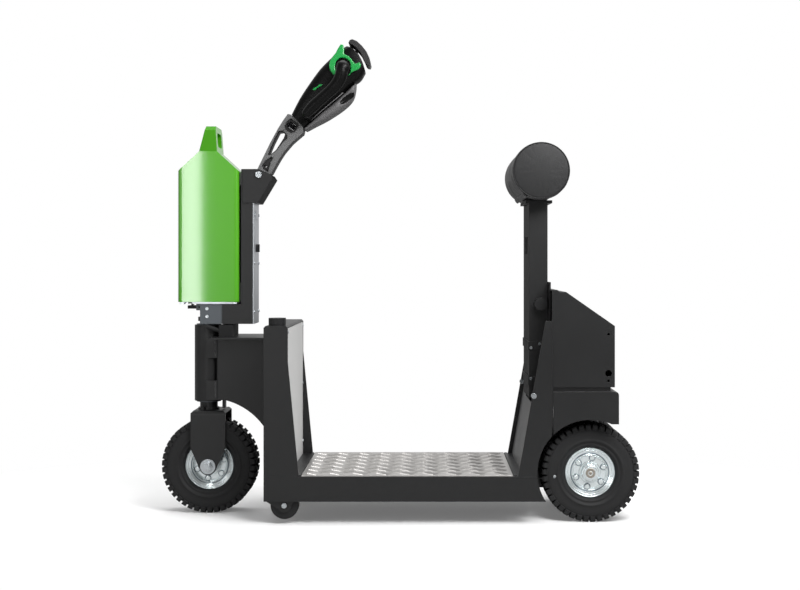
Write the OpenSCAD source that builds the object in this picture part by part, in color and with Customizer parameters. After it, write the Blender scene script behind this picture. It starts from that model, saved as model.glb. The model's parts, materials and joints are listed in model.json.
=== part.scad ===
// Electric tug with a standing platform: steered front wheel with a tiller, a lift-out battery,
// a tread-plate deck, a lean seat on a height-adjustable post and a driven rear axle.
// Millimetres. X runs from the steered wheel (minus) to the driven wheels (plus), Z is up.
// The origin lies on the floor, halfway between the wheel axes and on the centre plane.

/* [Wheels] */
// Distance between the front and the rear wheel axes
wheel_base = 1061; // [1000:1:1150]
// Tyre outside diameter, front and rear
tyre_d = 267; // [255:1:275]
// Tyre section width
tyre_w = 92; // [80:1:94]
// Rim flange diameter
rim_d = 136; // [120:1:145]
// Distance between the middles of the two rear tyres
rear_track = 246; // [236:1:270]
// Diameter of the wheel axles
axle_d = 20; // [16:1:24]
// Small anti-tip wheel diameter
support_d = 76; // [60:1:80]
// Small anti-tip wheel width
support_w = 26; // [20:1:32]
// Height of the anti-tip wheels above the floor
support_lift = 14; // [10:1:20]

/* [Deck] */
// Width of the deck and of everything that closes its sides
deck_w = 420; // [400:1:460]
// Height of the deck above the floor
deck_top = 131; // [122:1:140]
// Height of the deck's side skirts
skirt_h = 67; // [50:1:72]
// Thickness of the folded steel sheet
sheet = 4; // [3:0.5:5]
// From the front wheel axis back to the deck's front face
deck_front_gap = 176.5; // [170:0.5:190]
// Length of the tread plate
tread_l = 569; // [480:1:580]
// Thickness of the tread plate
tread_t = 3; // [2:0.5:5]
// Clearance between a rear tyre and the arch round it
arch_gap = 9; // [7:0.5:14]

/* [Front column] */
// Depth of the column along the machine
column_depth = 65; // [55:1:75]
// Height of the column above the deck
column_h = 405; // [380:1:430]
// How far the column's side plates flare back at the deck
column_flare = 29.5; // [20:0.5:35]
// Diameter of the round cap on the column
cap_d = 47; // [40:1:52]
// Height of the round cap
cap_h = 20; // [14:1:24]

/* [Neck and head tube] */
// Head tube outside diameter
head_d = 80; // [74:1:86]
// Head tube length
head_l = 215; // [200:1:225]
// Head tube's lower end above the floor
head_z = 315; // [311:1:320]
// Width of the neck's flat top plate
neck_plate_w = 210; // [160:1:240]
// Width across the neck's two side plates
neck_w = 90; // [84:1:110]
// Radius of the neck's lower arch round the front wheel axis
neck_arch_r = 191; // [182:1:196]

/* [Fork] */
// Width across the fork's legs
fork_w = 116; // [114:1:124]
// Thickness of the fork's plate
fork_t = 7; // [5:0.5:8]
// Width of a fork leg, seen from the side
fork_leg_w = 98; // [90:1:104]
// Top of the fork's crown above the floor
crown_top = 290; // [286:1:294]
// Steering stem diameter
stem_d = 50; // [44:1:54]
// Distance of the wheel axis behind the steering axis
fork_trail = 7; // [0:0.5:10]

/* [Battery] */
// Length of the battery case along the machine
battery_l = 172; // [160:1:176]
// Width of the battery case
battery_w = 115; // [100:1:120]
// Height of the battery case up to its shoulders
battery_h = 368; // [330:1:390]
// Height of the sloped shoulders
shoulder_h = 56; // [45:1:62]
// Height of the carrying handle above the shoulders
handle_h = 71; // [60:1:80]

/* [Control box] */
// Height of the control box
control_h = 436; // [410:1:450]
// Depth of the control box along the machine
control_l = 33; // [30:1:40]
// Width of the control box
control_w = 103; // [96:1:110]
// Wall of the control box
control_wall = 2.5; // [2:0.5:3.5]

/* [Tiller] */
// Length of the cast tiller arm from its pivot to the head
arm_len = 180; // [165:1:195]
// Width of the cast tiller arm
arm_w = 60; // [52:1:66]
// Lean of the tiller arm back from upright, in degrees
arm_lean = 35; // [33:1:37]
// Lean of the tiller head back from upright, in degrees
head_lean = 41; // [39:1:43]
// Length of the tiller head
grip_len = 290; // [280:1:300]
// Width across the two hand grips
grip_w = 236; // [220:1:250]
// Diameter of the tiller's pivot bolt
pivot_d = 12; // [10:1:16]

/* [Seat] */
// Top of the seat post above the floor
post_top = 872; // [860:1:890]
// Width of the seat post
post_w = 190; // [170:1:200]
// Depth of the seat post
post_l = 51.5; // [46:0.5:56]
// Diameter of the round seat bolster
bolster_d = 160; // [140:1:170]
// Length of the round seat bolster
bolster_len = 360; // [320:1:390]

/* [Rear body] */
// Height of the uprights above the deck
upright_h = 418.5; // [390:0.5:430]
// From the rear wheel axis forward to the uprights' rear edge
upright_back = 109.5; // [106:0.5:116]
// Width of an upright at its foot
upright_foot = 91; // [80:1:100]
// Width of an upright at its top
upright_tip = 17; // [14:1:24]
// Width of the upper rear box
box_w = 412; // [396:1:412]
// Length of the upper rear box
box_l = 169; // [150:1:175]
// Height of the upper rear box at its front
box_h = 262; // [240:1:275]
// Height of the upper rear box at its back
box_low_h = 165; // [150:1:180]
// Length of the wheel cover
cover_l = 176; // [166:1:182]
// Height of the wheel cover's rear wall
cover_h = 87; // [80:1:95]

/* [Hidden] */
// Clearances and shared small values
over = 1;              // overrun of every cut
fit = 0.05;            // radial running fit
seat = 0.3;            // gap between pieces that move on each other
round_n = 96;          // facet setting of true circles
soft_n = 24;           // facet setting of blended plastic shapes
bolt_d = 8;            // common bolts
bolt_head_d = 14;
bolt_head_t = 5;
screw_head_d = 8;
screw_head_t = 2.5;
screw_shank_d = 4;
screw_len = 10;

// Wheels
tyre_r = tyre_d / 2;
front_x = -wheel_base / 2;
rear_x = wheel_base / 2;
steer_x = front_x - fork_trail;
rim_w = 60;
rim_wall = 3;
rim_depth = 17;
rim_well_r = rim_d / 2 - rim_depth;
rim_web = 6;
web_front = 6;          // the disc's place inside the rim, front wheel
web_rear = 17;          // and rear wheels
// Tyre section: radial share of its height, axial share of its width
tyre_shares = [[0.14, 0.455], [0.42, 0.5], [0.75, 0.495], [0.94, 0.455], [1, 0.40]];
hub_wall = 9;
hub_r = axle_d / 2 + hub_wall;
hub_w = 76;
rim_bolts = 6;
rim_bolt_turn = 20;      // where the ring of bolts starts
rim_bolt_circle = 40;
rear_y = rear_track / 2;

// Deck
deck_half = deck_w / 2;
deck_bottom = deck_top - skirt_h;
deck_front = front_x + deck_front_gap;
upright_x1 = rear_x - upright_back;
arch_r = tyre_r + arch_gap;
arch_lead = 6;          // the arch's middle lies ahead of the axle
arch_rise = 8;          // and above it
arch_x = rear_x - arch_lead;
arch_z = tyre_r + arch_rise;
cross_w = 30;           // cross members under the deck
cross_h = 30;
cross_n = 3;
tread_gap = 2.5;
tread_setback = 7;      // from the column's flare to the tread plate
tread_x1 = deck_front + column_depth + column_flare + tread_setback;
strip_y = deck_half - sheet - tread_gap;
sheet_end = arch_x - arch_r - sheet;
strip_w = 8;            // dark strip at each end of the tread plate

// Anti-tip wheels
support_t = 4;
support_back = 54.5;
support_in = 12;
support_x = deck_front + support_back;
support_y = deck_half - sheet - support_w / 2 - support_in;
support_z = support_lift + support_d / 2;

// Column
column_top = deck_top + column_h;
column_back = deck_front + column_depth;
column_bevel = 5;
flare_top = 309;        // where the flare starts, above the deck
panel_t = 2.5;
panel_inset = 1;
panel_edge = 12;
panel_x = column_back - panel_t - panel_inset;
bevel_z = column_top - column_bevel;
screw_row_share = 0.43; // distance of the panel's screws, as a share of the column's height
screw_ys = [-deck_half + sheet + panel_edge / 2, deck_half - sheet - panel_edge / 2];
screw_zs = [for (i = [0 : 2]) bevel_z - panel_edge - i * column_h * screw_row_share];
cap_in = 38;            // the cap's middle from the column's side
cap_y = -deck_half + cap_in;
cap_x = deck_front + column_depth / 2;
socket_wall = 3;
socket_l = 46;
cap_rim = 3.5;
socket_d = cap_d - 2 * cap_rim;
socket_flange_t = 2;
plug_l = 14;

// Neck and head tube
head_r = head_d / 2;
head_top = head_z + head_l;
bearing_h = 16;
bearing_lip = 3;
bearing_ring = 8;
head_bore_r = stem_d / 2 + bearing_ring;
neck_top = 498;
neck_t = 5;
neck_nose = 23;         // the top plate reaches this far past the steering axis
weld_w = 6;
weld_l = 55;
tab_l = 3;
neck_x = steer_x + head_r - neck_t - tab_l;
boot_l = 39;
boot_w = 108;
boot_h = 33;
sleeve_d = 13;
sleeve_l = 50;
sleeve_tilt = 72;
sleeve_y = 47;
boot_x1 = steer_x + head_r - tab_l;
boot_x = boot_x1 + boot_l / 2;
stop_w = 22;
stop_t = 8;
stop_drop = 20;
stop_gap = 3;
stop_angle = 80;        // steering limit each way
lug_w = 9;
lug_h = 12;
lug_r = head_r + stop_t / 2 - over;
lug_spare = 3;          // degrees left between lug and stop at the limit
lug_angle = stop_angle + asin((stop_w + lug_w) / 2 / lug_r) + lug_spare;

// Fork and front axle
fork_inner = fork_w / 2 - fork_t;
fork_bend = 12;
fork_tip_r = 24;
fork_tip_angle = 25;
fork_taper = 52;        // the taper starts this far above the axle
axle_nut_d = 30;
axle_nut_t = 14;
axle_washer_d = 42;
axle_washer_t = 3;
axle_end = 6;
stem_collar_h = 5;

// Steering head above the tube
base_gap = 4;           // above the head tube
base_z = head_top + base_gap;
step_h = 56;            // from the base's floor up to the battery shelf
shelf_z = base_z + step_h;
control_top = base_z + control_h;
base_t = 6;
base_w = 96;
base_l1 = 17;           // reach of the base ahead of the steering axis
base_l2 = 46;           // and behind it
stem_nut_d = 62;
stem_nut_h = 12;
rivet_d = 9;
rivet_t = 3;
rivet_set = 13;
rivet_pitch = 22;
base_x1 = steer_x - base_l1;
base_x2 = steer_x + base_l2;
rivet_x = base_x1 + 2 * rivet_set - base_t;
rivet_zs = [shelf_z - rivet_set, shelf_z - rivet_set - rivet_pitch];

// Battery
battery_gap = 6;        // between the shelf and the case
battery_z = shelf_z + battery_gap;
battery_front = 78.5;   // the case reaches this far ahead of the steering axis
battery_x1 = steer_x - battery_front;
battery_x2 = battery_x1 + battery_l;
battery_round = 12;
handle_base = 50;
handle_lean = 18;       // the handle's front face slopes back by this much
handle_rear = 4.5;      // and its rear face forward by this much
handle_x1 = battery_x1 + (battery_l - handle_base) / 2;
grip_slot_w = 70;
grip_slot_h = 40;
grip_slot_z = 14;
shoulder_z = battery_z + battery_h;
handle_z = shoulder_z + shoulder_h;
handle_top = handle_z + handle_h;
foot_l = 132;
foot_w = 84;
pad_l = 12;
pad_w = 24;

// Control box
control_gap = 6;        // behind the battery
control_x1 = battery_x2 + control_gap;
control_x2 = control_x1 + control_l;
panel_plate = 3;
knob_set = 3;
key_d = 22;
key_up = 214;           // above the base's floor, as are those below
key_z = base_z + key_up;
label_h = 66;
label_w = 70;
label_up = 259;
label_z = base_z + label_up;
label_t = 0.8;
gauge_w = 40;
gauge_h = 26;
gauge_up = 308;
gauge_z = base_z + gauge_up;
gauge_t = 2.5;
rail_t = 5;
rail_w = 30;
box_screw_up = [34, 171, 309];
box_screw_z = [for (z = box_screw_up) base_z + z];
box_screw_y = control_w / 2 - screw_head_d;

// Battery latch
latch_l = 34;
latch_h = 9;
latch_w = 40;
latch_pin_d = 6;
latch_x = base_x1 - latch_pin_d;
latch_drop = 9.5;
latch_z = shelf_z - latch_drop;
tooth_x = 25.5;         // the tooth's reach ahead of the latch's pin
tooth_h = 12.25;

// Tiller bracket and arm
pivot_back = 17;
pivot_drop = 16;
pivot_x = control_x2 + pivot_back;
pivot_z = control_top - pivot_drop;
ear_t = 4;
ear_low = 95;
ear_nose = [31.5, 13.5]; // corners of an ear: behind the pivot, below the top
ear_chin = [39.5, 25];
pivot_head_d = 18;
pivot_head_t = 6;
boss_r = 13.5;
bush_t = 3;
spring_d = 24;
spring_wire = 3;
spring_turns = 7;
spring_sides = 6;
spring_rings = 8;
window_r = 15.5;
window_round = 5;
window_v = -8;
window_u = 165;
slot_r = 5.5;
slot_sides = 10;
pocket_r = 8;
pocket_depth = 18;
slot_top = [-10, 131];
slot_low = [-12, 74];
hole_r = 4;
hole_at = [-3, 30];
pocket_outline = [[-9, 24], [6, 22], [5, 58], [-8, 52]];
head_bend = head_lean - arm_lean;
arm_heel = 33.5;        // the arm's rear corner under the guard

// Outline of the arm's front and back edges, as shares of its length: across, along
arm_front_shares = [[-0.070, 0.02], [-0.08, 0.06], [-0.137, 0.45], [-0.185, 0.80]];
arm_back_shares = [[0.152, 0.80], [0.12, 0.685], [0.103, 0.46], [0.137, 0.10], [0.070, 0.02]];

// Outline of the head's body, as shares of its length: across, along
body_shares = [
    [-0.100, 0.045], [-0.141, 0.232], [-0.163, 0.408], [-0.179, 0.575], [-0.169, 0.713],
    [-0.163, 0.81], [-0.140, 0.91], [-0.110, 0.935], [-0.020, 0.942], [0.070, 0.925],
    [0.150, 0.87], [0.190, 0.83], [0.200, 0.76], [0.170, 0.65], [0.125, 0.40],
    [0.110, 0.20], [0.098, 0.02]];
// Outline of the lighter guard under the body
guard_shares = [
    [0.100, 0.005], [0.132, 0.067], [0.169, 0.145], [0.245, 0.282], [0.276, 0.425],
    [0.269, 0.537], [0.228, 0.630], [0.190, 0.688], [0.174, 0.658], [0.128, 0.41], [0.112, 0.2]];
// Outline of the cap over the head's end
cap_shares = [
    [-0.137, 0.975], [-0.080, 1.0], [-0.031, 1.002], [0.035, 0.998], [0.080, 0.994],
    [0.140, 0.955], [0.170, 0.925], [0.178, 0.900], [0.160, 0.890], [0.140, 0.918],
    [0.070, 0.958], [-0.020, 0.975], [-0.105, 0.968]];
// Plan of the head: half width as a share of its width, along as a share of its length
plan_shares = [[0.36, 0], [0.43, 0.055], [0.43, 0.155], [0.5, 0.25], [0.5, 1]];
body_w = 84;
guard_w = 76;
end_cap_w = 74;
end_cap_travel = 6;
// Balls that a grip is stretched over, as across, along and radius: its end, middle and foot
grip_balls = [[9, 201, 21.5], [22, 150, 17.5], [17, 80, 16.5], [15.5, 34, 12.5]];
grip_flat_share = 0.64;  // the grips are flatter across than along
bridge_reach_share = 0.97;  // how far out the bridges reach into the grips
grip_u2 = 204;
grip_v = 12;
bridge_r = 11;
throttle_r = 31;
throttle_hub_r = 16;
throttle_t = 9;
// Outlines of the throttle's wing and of its small tab, from the hub's axis
wing_outline = [
    [-15, -27], [-34, -20], [-44, 2], [-52, 34], [-62, 50], [-48, 48], [-36, 30], [-24, 18], [-24, -6]];
tab_outline = [[14, 26], [22, 18], [30, 20], [24, 48], [12, 40], [8, 30]];
switch_v = -8.7;
switch_u = 261;
switch_y = end_cap_w / 4;
horn_d = 16;
horn_h = 6;
horn_u = 114;
horn_v = -18;
horn_travel = 2;

// Seat
post_t = 4;
post_gap = 0.5;        // between the post and what guides it
post_x2 = upright_x1 - post_gap;
post_x1 = post_x2 - post_l;
post_bottom = 330;
window_w = 90;
window_h = 49;
window_z = 731;
saddle_l = 74;
saddle_t = 8;
bolster_off = 27.5;
bolster_x = post_x1 + bolster_off;
bolster_r = bolster_d / 2;
bolster_sink = 3;       // the bolster's underside is cut flat over the saddle
bolster_z = post_top + saddle_t - bolster_sink + bolster_r;
bolster_crown = 7;      // bulge of each end
bolster_nip = 2.5;      // the cover is drawn in at each seam
bolster_edge = 12;
travel_down = 10;
knob_d = 36;
knob_l = 24;
knob_lobes = 6;
lobe_r = 21;
knob_off = 31;
knob_x = post_x1 + knob_off;
knob_z = 592;
stud_d = 10;
rail_off = 15;
rail_x1 = post_x1 + rail_off;
guard_gap = 2;          // between the post and the rails inside it
rail_y = post_w / 2 - post_t - guard_gap;
strap_h = 24;
strap_t = 2;
strap_drop = [171.5, 73.5]; // below the uprights' top
strap_z = [for (z = strap_drop) deck_top + upright_h - z];
strap_in = post_w / 2 + post_gap;
strap_x1 = post_x1 - post_gap - strap_t;
// A strap's bolts on each side, as the strap's number, across and up from its middle
strap_bolts_at = [[0, 5, 7], [0, 23, -6], [1, 5, -6], [1, 29, 5]];

// Rear body
upright_top = deck_top + upright_h;
upright_x0 = upright_x1 - upright_foot;
upright_tip_x = upright_x1 - upright_tip;
back_t = 4;
back_w = 280;
back_x = upright_x1;
back_z = 250;
back_top = 653;
panel_top = 340;
slope_inset = 12;
slope_t = 2.5;
panel_lip = 7.5;
slope = (upright_tip_x - upright_x0) / upright_h;
flange_w = 46;
upright_bolt_in = 42.5;
upright_bolt_x = upright_x0 + upright_bolt_in;
bolt_height_share = 0.5185;
upright_bolt_z = deck_top + upright_h * bolt_height_share;
bolt_low_t = 2;
box_x1 = upright_x1 + post_gap;
box_x2 = box_x1 + box_l;
box_z = 371;
box_t = 3;
box_flat = 38;          // flat part of the box's top
box_lip_l = 15;
box_lip_h = 5.5;
box_top = box_z + box_h;
cover_x1 = upright_x1 + sheet;
cover_x2 = cover_x1 + cover_l;
cover_rise = 12;        // height of the rim between the cover and the box
cover_top = box_z - cover_rise;
cover_z = cover_top - cover_h;
cover_round = 8;
cover_cut = 2.4;
socket_in = 17;
socket_up = 37.5;
socket_x = box_x2 - socket_in;
socket_hole_d = 18;
socket_hole_z = box_z + socket_up;
fix_d = 7;
fix_up = [17.5, 142.5];
fix_z = [for (z = fix_up) box_z + z];
cover_rim_w = 12;       // raised rim that carries the box
rim_y = box_w / 2 - cover_rim_w / 2;
rim_in = 21;
rim_x = cover_l - rim_in;

// Drive
gear_r = 46;
gear_w = 110;
gear_end_r = 30;
gear_end_w = 148;
motor_r = 48;
motor_l = 150;
motor_off = -4;
motor_neck_r = 41;
motor_cap_h = 22;
motor_cap_r = 29;
beam_t = 6;
beam_h = 50;
beam_y = 66;
shaft_len = 60;
cap_out = 5;
ctrl_l = 90;
ctrl_w = 160;
ctrl_h = 34;
ctrl_fin_t = 3;
ctrl_fins = 7;
ctrl_z = 476;

// Places 2D children, drawn as along and up, in the side view and gives them a width.
module side(w) rotate([90, 0, 0]) linear_extrude(height = w, center = true) children();
// Repeats its children on the other side of the centre plane.
module both() {
    children();
    mirror([0, 1, 0]) children();
}
// Turns children made round Z so that they run round Y.
module round_y() rotate([90, 0, 0]) children();
// A cylinder along Y, centred on its place.
module rod_y(r, l) rotate([90, 0, 0]) cylinder(r = r, h = l, center = true, $fn = round_n);
// A cylinder along X, starting at its place.
module rod_x(r, l) rotate([0, 90, 0]) cylinder(r = r, h = l, $fn = round_n);
// A cylinder along Z, starting at its place.
module rod_z(r, l) cylinder(r = r, h = l, $fn = round_n);
// A block given by its lowest corner and its size.
module block(at, size) translate(at) cube(size);
// Scales a list of shares to a length.
function sized(shares, l) = [for (p = shares) [p[0] * l, p[1] * l]];
// A rounded rectangle from its corners.
module rounded(x1, y1, x2, y2, r) {
    for (x = [x1 + r, x2 - r], y = [y1 + r, y2 - r]) translate([x, y]) circle(r = r, $fn = round_n);
    translate([x1 + r, y1]) square([x2 - x1 - 2 * r, y2 - y1]);
    translate([x1, y1 + r]) square([x2 - x1, y2 - y1 - 2 * r]);
}
// A slot between two points.
module slot2d(a, b, r) {
    turn = atan2(b[1] - a[1], b[0] - a[0]);
    bends = [for (k = [0 : slot_sides]) turn + 180 * k / slot_sides];
    polygon(concat([for (w = bends) a + r * [-sin(w), cos(w)]], [for (w = bends) b + r * [sin(w), -cos(w)]]));
}
// Frames of the tiller: local Z runs along the piece, local X across it.
module at_pivot() translate([pivot_x, 0, pivot_z]) rotate([0, arm_lean, 0]) children();
module at_head() at_pivot() translate([0, 0, arm_len]) rotate([0, head_bend, 0]) children();
// A point of the head, given in the arm's frame.
function to_arm(p) = [p[0] * cos(head_bend) + p[1] * sin(head_bend),
    arm_len + p[1] * cos(head_bend) - p[0] * sin(head_bend)];

// Deck

module arch_cut(w) translate([arch_x, 0, arch_z]) rod_y(arch_r, w);
module deck_frame() color("#2b2c2d") {
    difference() {
        union() {
            both() block([deck_front, deck_half - sheet, deck_bottom],
                [arch_x - deck_front, sheet, skirt_h]);
            block([deck_front, -deck_half, deck_bottom], [sheet, deck_w, skirt_h]);
            block([deck_front, -deck_half, deck_top - sheet], [sheet_end - deck_front, deck_w, sheet]);
            block([sheet_end - sheet, -deck_half, deck_bottom], [sheet, deck_w, skirt_h]);
            for (i = [1 : cross_n])
                block([deck_front + i * tread_l / (cross_n + 1), -deck_half + sheet,
                    deck_top - sheet - cross_h], [cross_w, deck_w - 2 * sheet, cross_h]);
        }
        arch_cut(deck_w + over);
        both() block([upright_x0 - over, beam_y - beam_t / 2 - seat, deck_bottom - over],
            [arch_x - upright_x0, beam_t + 2 * seat, skirt_h - sheet + over]);
    }
    for (x = [tread_x1 - strip_w - tread_gap, tread_x1 + tread_l + tread_gap])
        block([x, -strip_y, deck_top], [strip_w, 2 * strip_y, tread_t]);
}
module tread_plate() color("#b9b2a6")
    block([tread_x1, -deck_half + sheet, deck_top], [tread_l, deck_w - 2 * sheet, tread_t]);

// Front column

module column_side() polygon([[deck_front, deck_top], [deck_front, bevel_z],
    [deck_front + column_bevel, column_top], [column_back - column_bevel, column_top],
    [column_back, bevel_z], [column_back, deck_top + flare_top], [column_back + column_flare, deck_top]]);
// The folded edge between the column's top and an upright face, turned by s.
module column_edge(x, s) polygon([[x, bevel_z], [x + s * column_bevel, column_top],
    [x + s * column_bevel, column_top - sheet], [x + s * sheet, bevel_z]]);
module front_column() color("#303133") difference() {
    union() {
        both() translate([0, deck_half - sheet / 2, 0]) side(sheet) column_side();
        block([deck_front, -deck_half, deck_top], [sheet, deck_w, bevel_z - deck_top]);
        block([deck_front + column_bevel, -deck_half, column_top - sheet],
            [column_depth - 2 * column_bevel, deck_w, sheet]);
        side(deck_w) column_edge(deck_front, 1);
        side(deck_w) column_edge(column_back, -1);
        both() block([panel_x - sheet, deck_half - sheet - panel_edge, deck_top],
            [sheet, panel_edge + sheet / 2, bevel_z - sheet - deck_top]);
    }
    translate([cap_x, cap_y, column_top - sheet - over]) rod_z(socket_d / 2 + fit, sheet + 2 * over);
    for (y = screw_ys, z = screw_zs) translate([panel_x - sheet - over, y, z])
        rod_x(screw_shank_d / 2 + fit, sheet + 2 * over);
}
module column_panel() color("#b7b9ba") difference() {
    block([panel_x, -deck_half + sheet + fit, deck_top],
        [panel_t, deck_w - 2 * (sheet + fit), bevel_z - sheet / 2 - deck_top]);
    for (y = screw_ys, z = screw_zs) translate([panel_x - over, y, z])
        rod_x(screw_shank_d / 2 + fit, panel_t + 2 * over);
}
module panel_screws() color("#8d9094") for (y = screw_ys, z = screw_zs) translate([panel_x, y, z]) {
    translate([panel_t, 0, 0]) rod_x(screw_head_d / 2, screw_head_t);
    translate([-screw_len, 0, 0]) rod_x(screw_shank_d / 2, screw_len + panel_t + over);
}
module column_socket() color("#1d1e20") translate([cap_x, cap_y, column_top]) difference() {
    union() {
        translate([0, 0, -socket_l]) rod_z(socket_d / 2, socket_l);
        rod_z(cap_d / 2 - seat, socket_flange_t);
    }
    translate([0, 0, socket_wall - socket_l]) rod_z(socket_d / 2 - socket_wall, socket_l + over);
}
module column_cap() color("#232426") translate([cap_x, cap_y, column_top + socket_flange_t + seat]) {
    rod_z(cap_d / 2, cap_h - socket_flange_t);
    translate([0, 0, -plug_l]) rod_z(socket_d / 2 - socket_wall - seat, plug_l + over);
}

// Neck, head tube and its bearings

module neck_arch(r) translate([front_x, tyre_r]) circle(r = r, $fn = 2 * round_n);
module neck_side() difference() {
    polygon([[neck_x, head_z], [neck_x, neck_top - neck_t], [deck_front, neck_top - neck_t],
        [deck_front, deck_top + neck_t], [neck_x, deck_top + neck_t]]);
    neck_arch(neck_arch_r);
}
module neck_arm() color("#303133") difference() {
    union() {
        both() translate([0, (neck_w - neck_t) / 2, 0]) side(neck_t) neck_side();
        block([steer_x + neck_nose, -neck_plate_w / 2, neck_top - neck_t],
            [deck_front - steer_x - neck_nose, neck_plate_w, neck_t]);
        side(neck_w) intersection() {
            neck_side();
            neck_arch(neck_arch_r + neck_t);
        }
        // Weld tabs between the side plates and the tube
        both() for (z = [head_z + sheet, neck_top - neck_t - weld_l])
            block([steer_x, head_r - weld_w, z], [head_r, neck_w / 2 - head_r + weld_w, weld_l]);
        // Steering stop behind the lower bearing
        block([steer_x + head_r, -stop_w / 2, crown_top + stop_gap],
            [stop_t, stop_w, head_z - crown_top - stop_gap + stop_drop + neck_t]);
        block([steer_x + head_r, -neck_w / 2, head_z + stop_drop], [stop_t, neck_w, neck_t]);
    }
    translate([steer_x, 0, head_z - stop_drop]) rod_z(head_r, head_l + 2 * stop_drop);
    translate([boot_x, 0, neck_top - neck_t - over]) rod_z(sleeve_d / 2, neck_t + 2 * over);
}
module head_tube() color("#2e2f31") translate([steer_x, 0, head_z]) difference() {
    rod_z(head_r, head_l);
    translate([0, 0, -over]) rod_z(head_bore_r - bearing_lip, head_l + 2 * over);
    for (z = [-over, head_l - bearing_h]) translate([0, 0, z]) rod_z(head_bore_r, bearing_h + over);
}
// One bearing with its outer lip downwards.
module bearing() difference() {
    union() {
        rod_z(head_bore_r, bearing_h);
        translate([0, 0, -bearing_lip]) rod_z(head_bore_r + bearing_lip / 2, bearing_lip);
    }
    translate([0, 0, -bearing_lip - over]) rod_z(stem_d / 2 + fit, bearing_h + bearing_lip + 2 * over);
}
module upper_bearing() color("#5c5f63") translate([steer_x, 0, head_top]) mirror([0, 0, 1]) bearing();
module lower_bearing() color("#5c5f63") translate([steer_x, 0, head_z]) bearing();
module cable_boot() color("#161718") {
    difference() {
        union() {
            block([boot_x1, -boot_w / 2, neck_top], [boot_l, boot_w, boot_h]);
            translate([boot_x1 + sleeve_d, -sleeve_y, neck_top + sleeve_d])
                rotate([0, -sleeve_tilt, 0]) rod_z(sleeve_d / 2, sleeve_l);
        }
        translate([steer_x, 0, neck_top - over]) rod_z(head_r + seat, boot_h + head_r);
    }
    translate([boot_x, 0, neck_top - neck_t]) rod_z(sleeve_d / 2 - fit, neck_t + over);
}

// Anti-tip wheels

module support_side() difference() {
    union() {
        polygon([[deck_front + sheet, deck_top - sheet], [deck_front + sheet, deck_bottom],
            [support_x - support_d / 6, support_z - support_d / 6],
            [support_x + support_d / 6, support_z - support_d / 6],
            [support_x + support_d / 2, deck_bottom + support_d / 4],
            [support_x + support_d / 2, deck_top - sheet]]);
        translate([support_x, support_z]) circle(r = support_d / 4, $fn = round_n);
    }
    translate([support_x, support_z]) circle(d = bolt_d + 2 * fit, $fn = round_n);
}
module support_brackets() color("#26272a") both() for (s = [-1, 1])
    translate([0, support_y + s * (support_w / 2 + support_t), 0]) side(support_t) support_side();
module support_axles() color("#c9ccd0") both() translate([support_x, support_y, support_z]) {
    rod_y(bolt_d / 2, support_w + 3 * support_t + 2 * bolt_head_t);
    both() translate([0, (support_w + 3 * support_t + bolt_head_t) / 2, 0])
        rod_y(bolt_head_d / 2, bolt_head_t);
}
module support_wheel(y) color("#1f2022") translate([support_x, y, support_z]) round_y()
    rotate_extrude($fn = round_n) polygon([[bolt_d / 2 + fit, -support_w / 2],
        [support_d / 2 - over, -support_w / 2], [support_d / 2, -support_w / 2 + over],
        [support_d / 2, support_w / 2 - over], [support_d / 2 - over, support_w / 2],
        [bolt_d / 2 + fit, support_w / 2]]);
module left_support_wheel() support_wheel(support_y);
module right_support_wheel() support_wheel(-support_y);

// Wheels: the profiles run outwards along the radius and the outboard side is plus

function rim_profile(r, w, well) = [
    [r, -w / 2], [r, -w / 2 + rim_wall], [well, -w / 2 + 3 * rim_wall], [well, w / 2 - 3 * rim_wall],
    [r, w / 2 - rim_wall], [r, w / 2], [r - rim_wall, w / 2], [well - rim_wall, w / 2 - 2 * rim_wall],
    [well - rim_wall, -w / 2 + 2 * rim_wall], [r - rim_wall, -w / 2]];
module rim(web_z) difference() {
    union() {
        rotate_extrude($fn = round_n) polygon(rim_profile(rim_d / 2, rim_w, rim_well_r));
        translate([0, 0, web_z]) rod_z(rim_well_r - over, rim_web);
        translate([0, 0, -hub_w / 2]) rod_z(hub_r, hub_w);
        for (i = [0 : rim_bolts - 1]) rotate([0, 0, rim_bolt_turn + i * 360 / rim_bolts])
            translate([rim_bolt_circle, 0, web_z - bolt_head_t])
                cylinder(d = bolt_head_d, h = rim_web + 2 * bolt_head_t, $fn = 6);
    }
    translate([0, 0, -hub_w / 2 - over]) rod_z(axle_d / 2 + fit, hub_w + 2 * over);
}
// One side of the tyre's section, bead first; s is the side.
function tyre_side(s) = concat(
    [[rim_well_r + seat, s * (rim_w / 2 - 3 * rim_wall - seat)],
     [rim_d / 2, s * (rim_w / 2 - rim_wall - seat)], [rim_d / 2 + over, s * rim_w / 2]],
    [for (p = tyre_shares) [rim_d / 2 + (tyre_r - rim_d / 2) * p[0], s * tyre_w * p[1]]]);
module tyre() {
    far = tyre_side(-1);
    rotate_extrude($fn = round_n)
        polygon(concat(tyre_side(1), [for (i = [len(far) - 1 : -1 : 0]) far[i]]));
}
module front_rim() color("#c3ccd2") translate([front_x, 0, tyre_r]) round_y() rim(web_front);
module front_tyre() color("#222324") translate([front_x, 0, tyre_r]) round_y() tyre();
// A rear wheel on its half shaft.
module rear_rim() {
    rim(web_rear);
    translate([0, 0, -shaft_len - hub_w / 2 + over]) rod_z(axle_d / 2, shaft_len + hub_w + cap_out);
    translate([0, 0, hub_w / 2]) rod_z(hub_r - over, cap_out);
}
module right_rear_rim() color("#c3ccd2") translate([rear_x, -rear_y, tyre_r]) round_y() rear_rim();
module left_rear_rim() color("#c3ccd2") mirror([0, 1, 0]) right_rear_rim();
module right_rear_tyre() color("#222324") translate([rear_x, -rear_y, tyre_r]) round_y() tyre();
module left_rear_tyre() color("#222324") mirror([0, 1, 0]) right_rear_tyre();

// Fork and front axle

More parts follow.
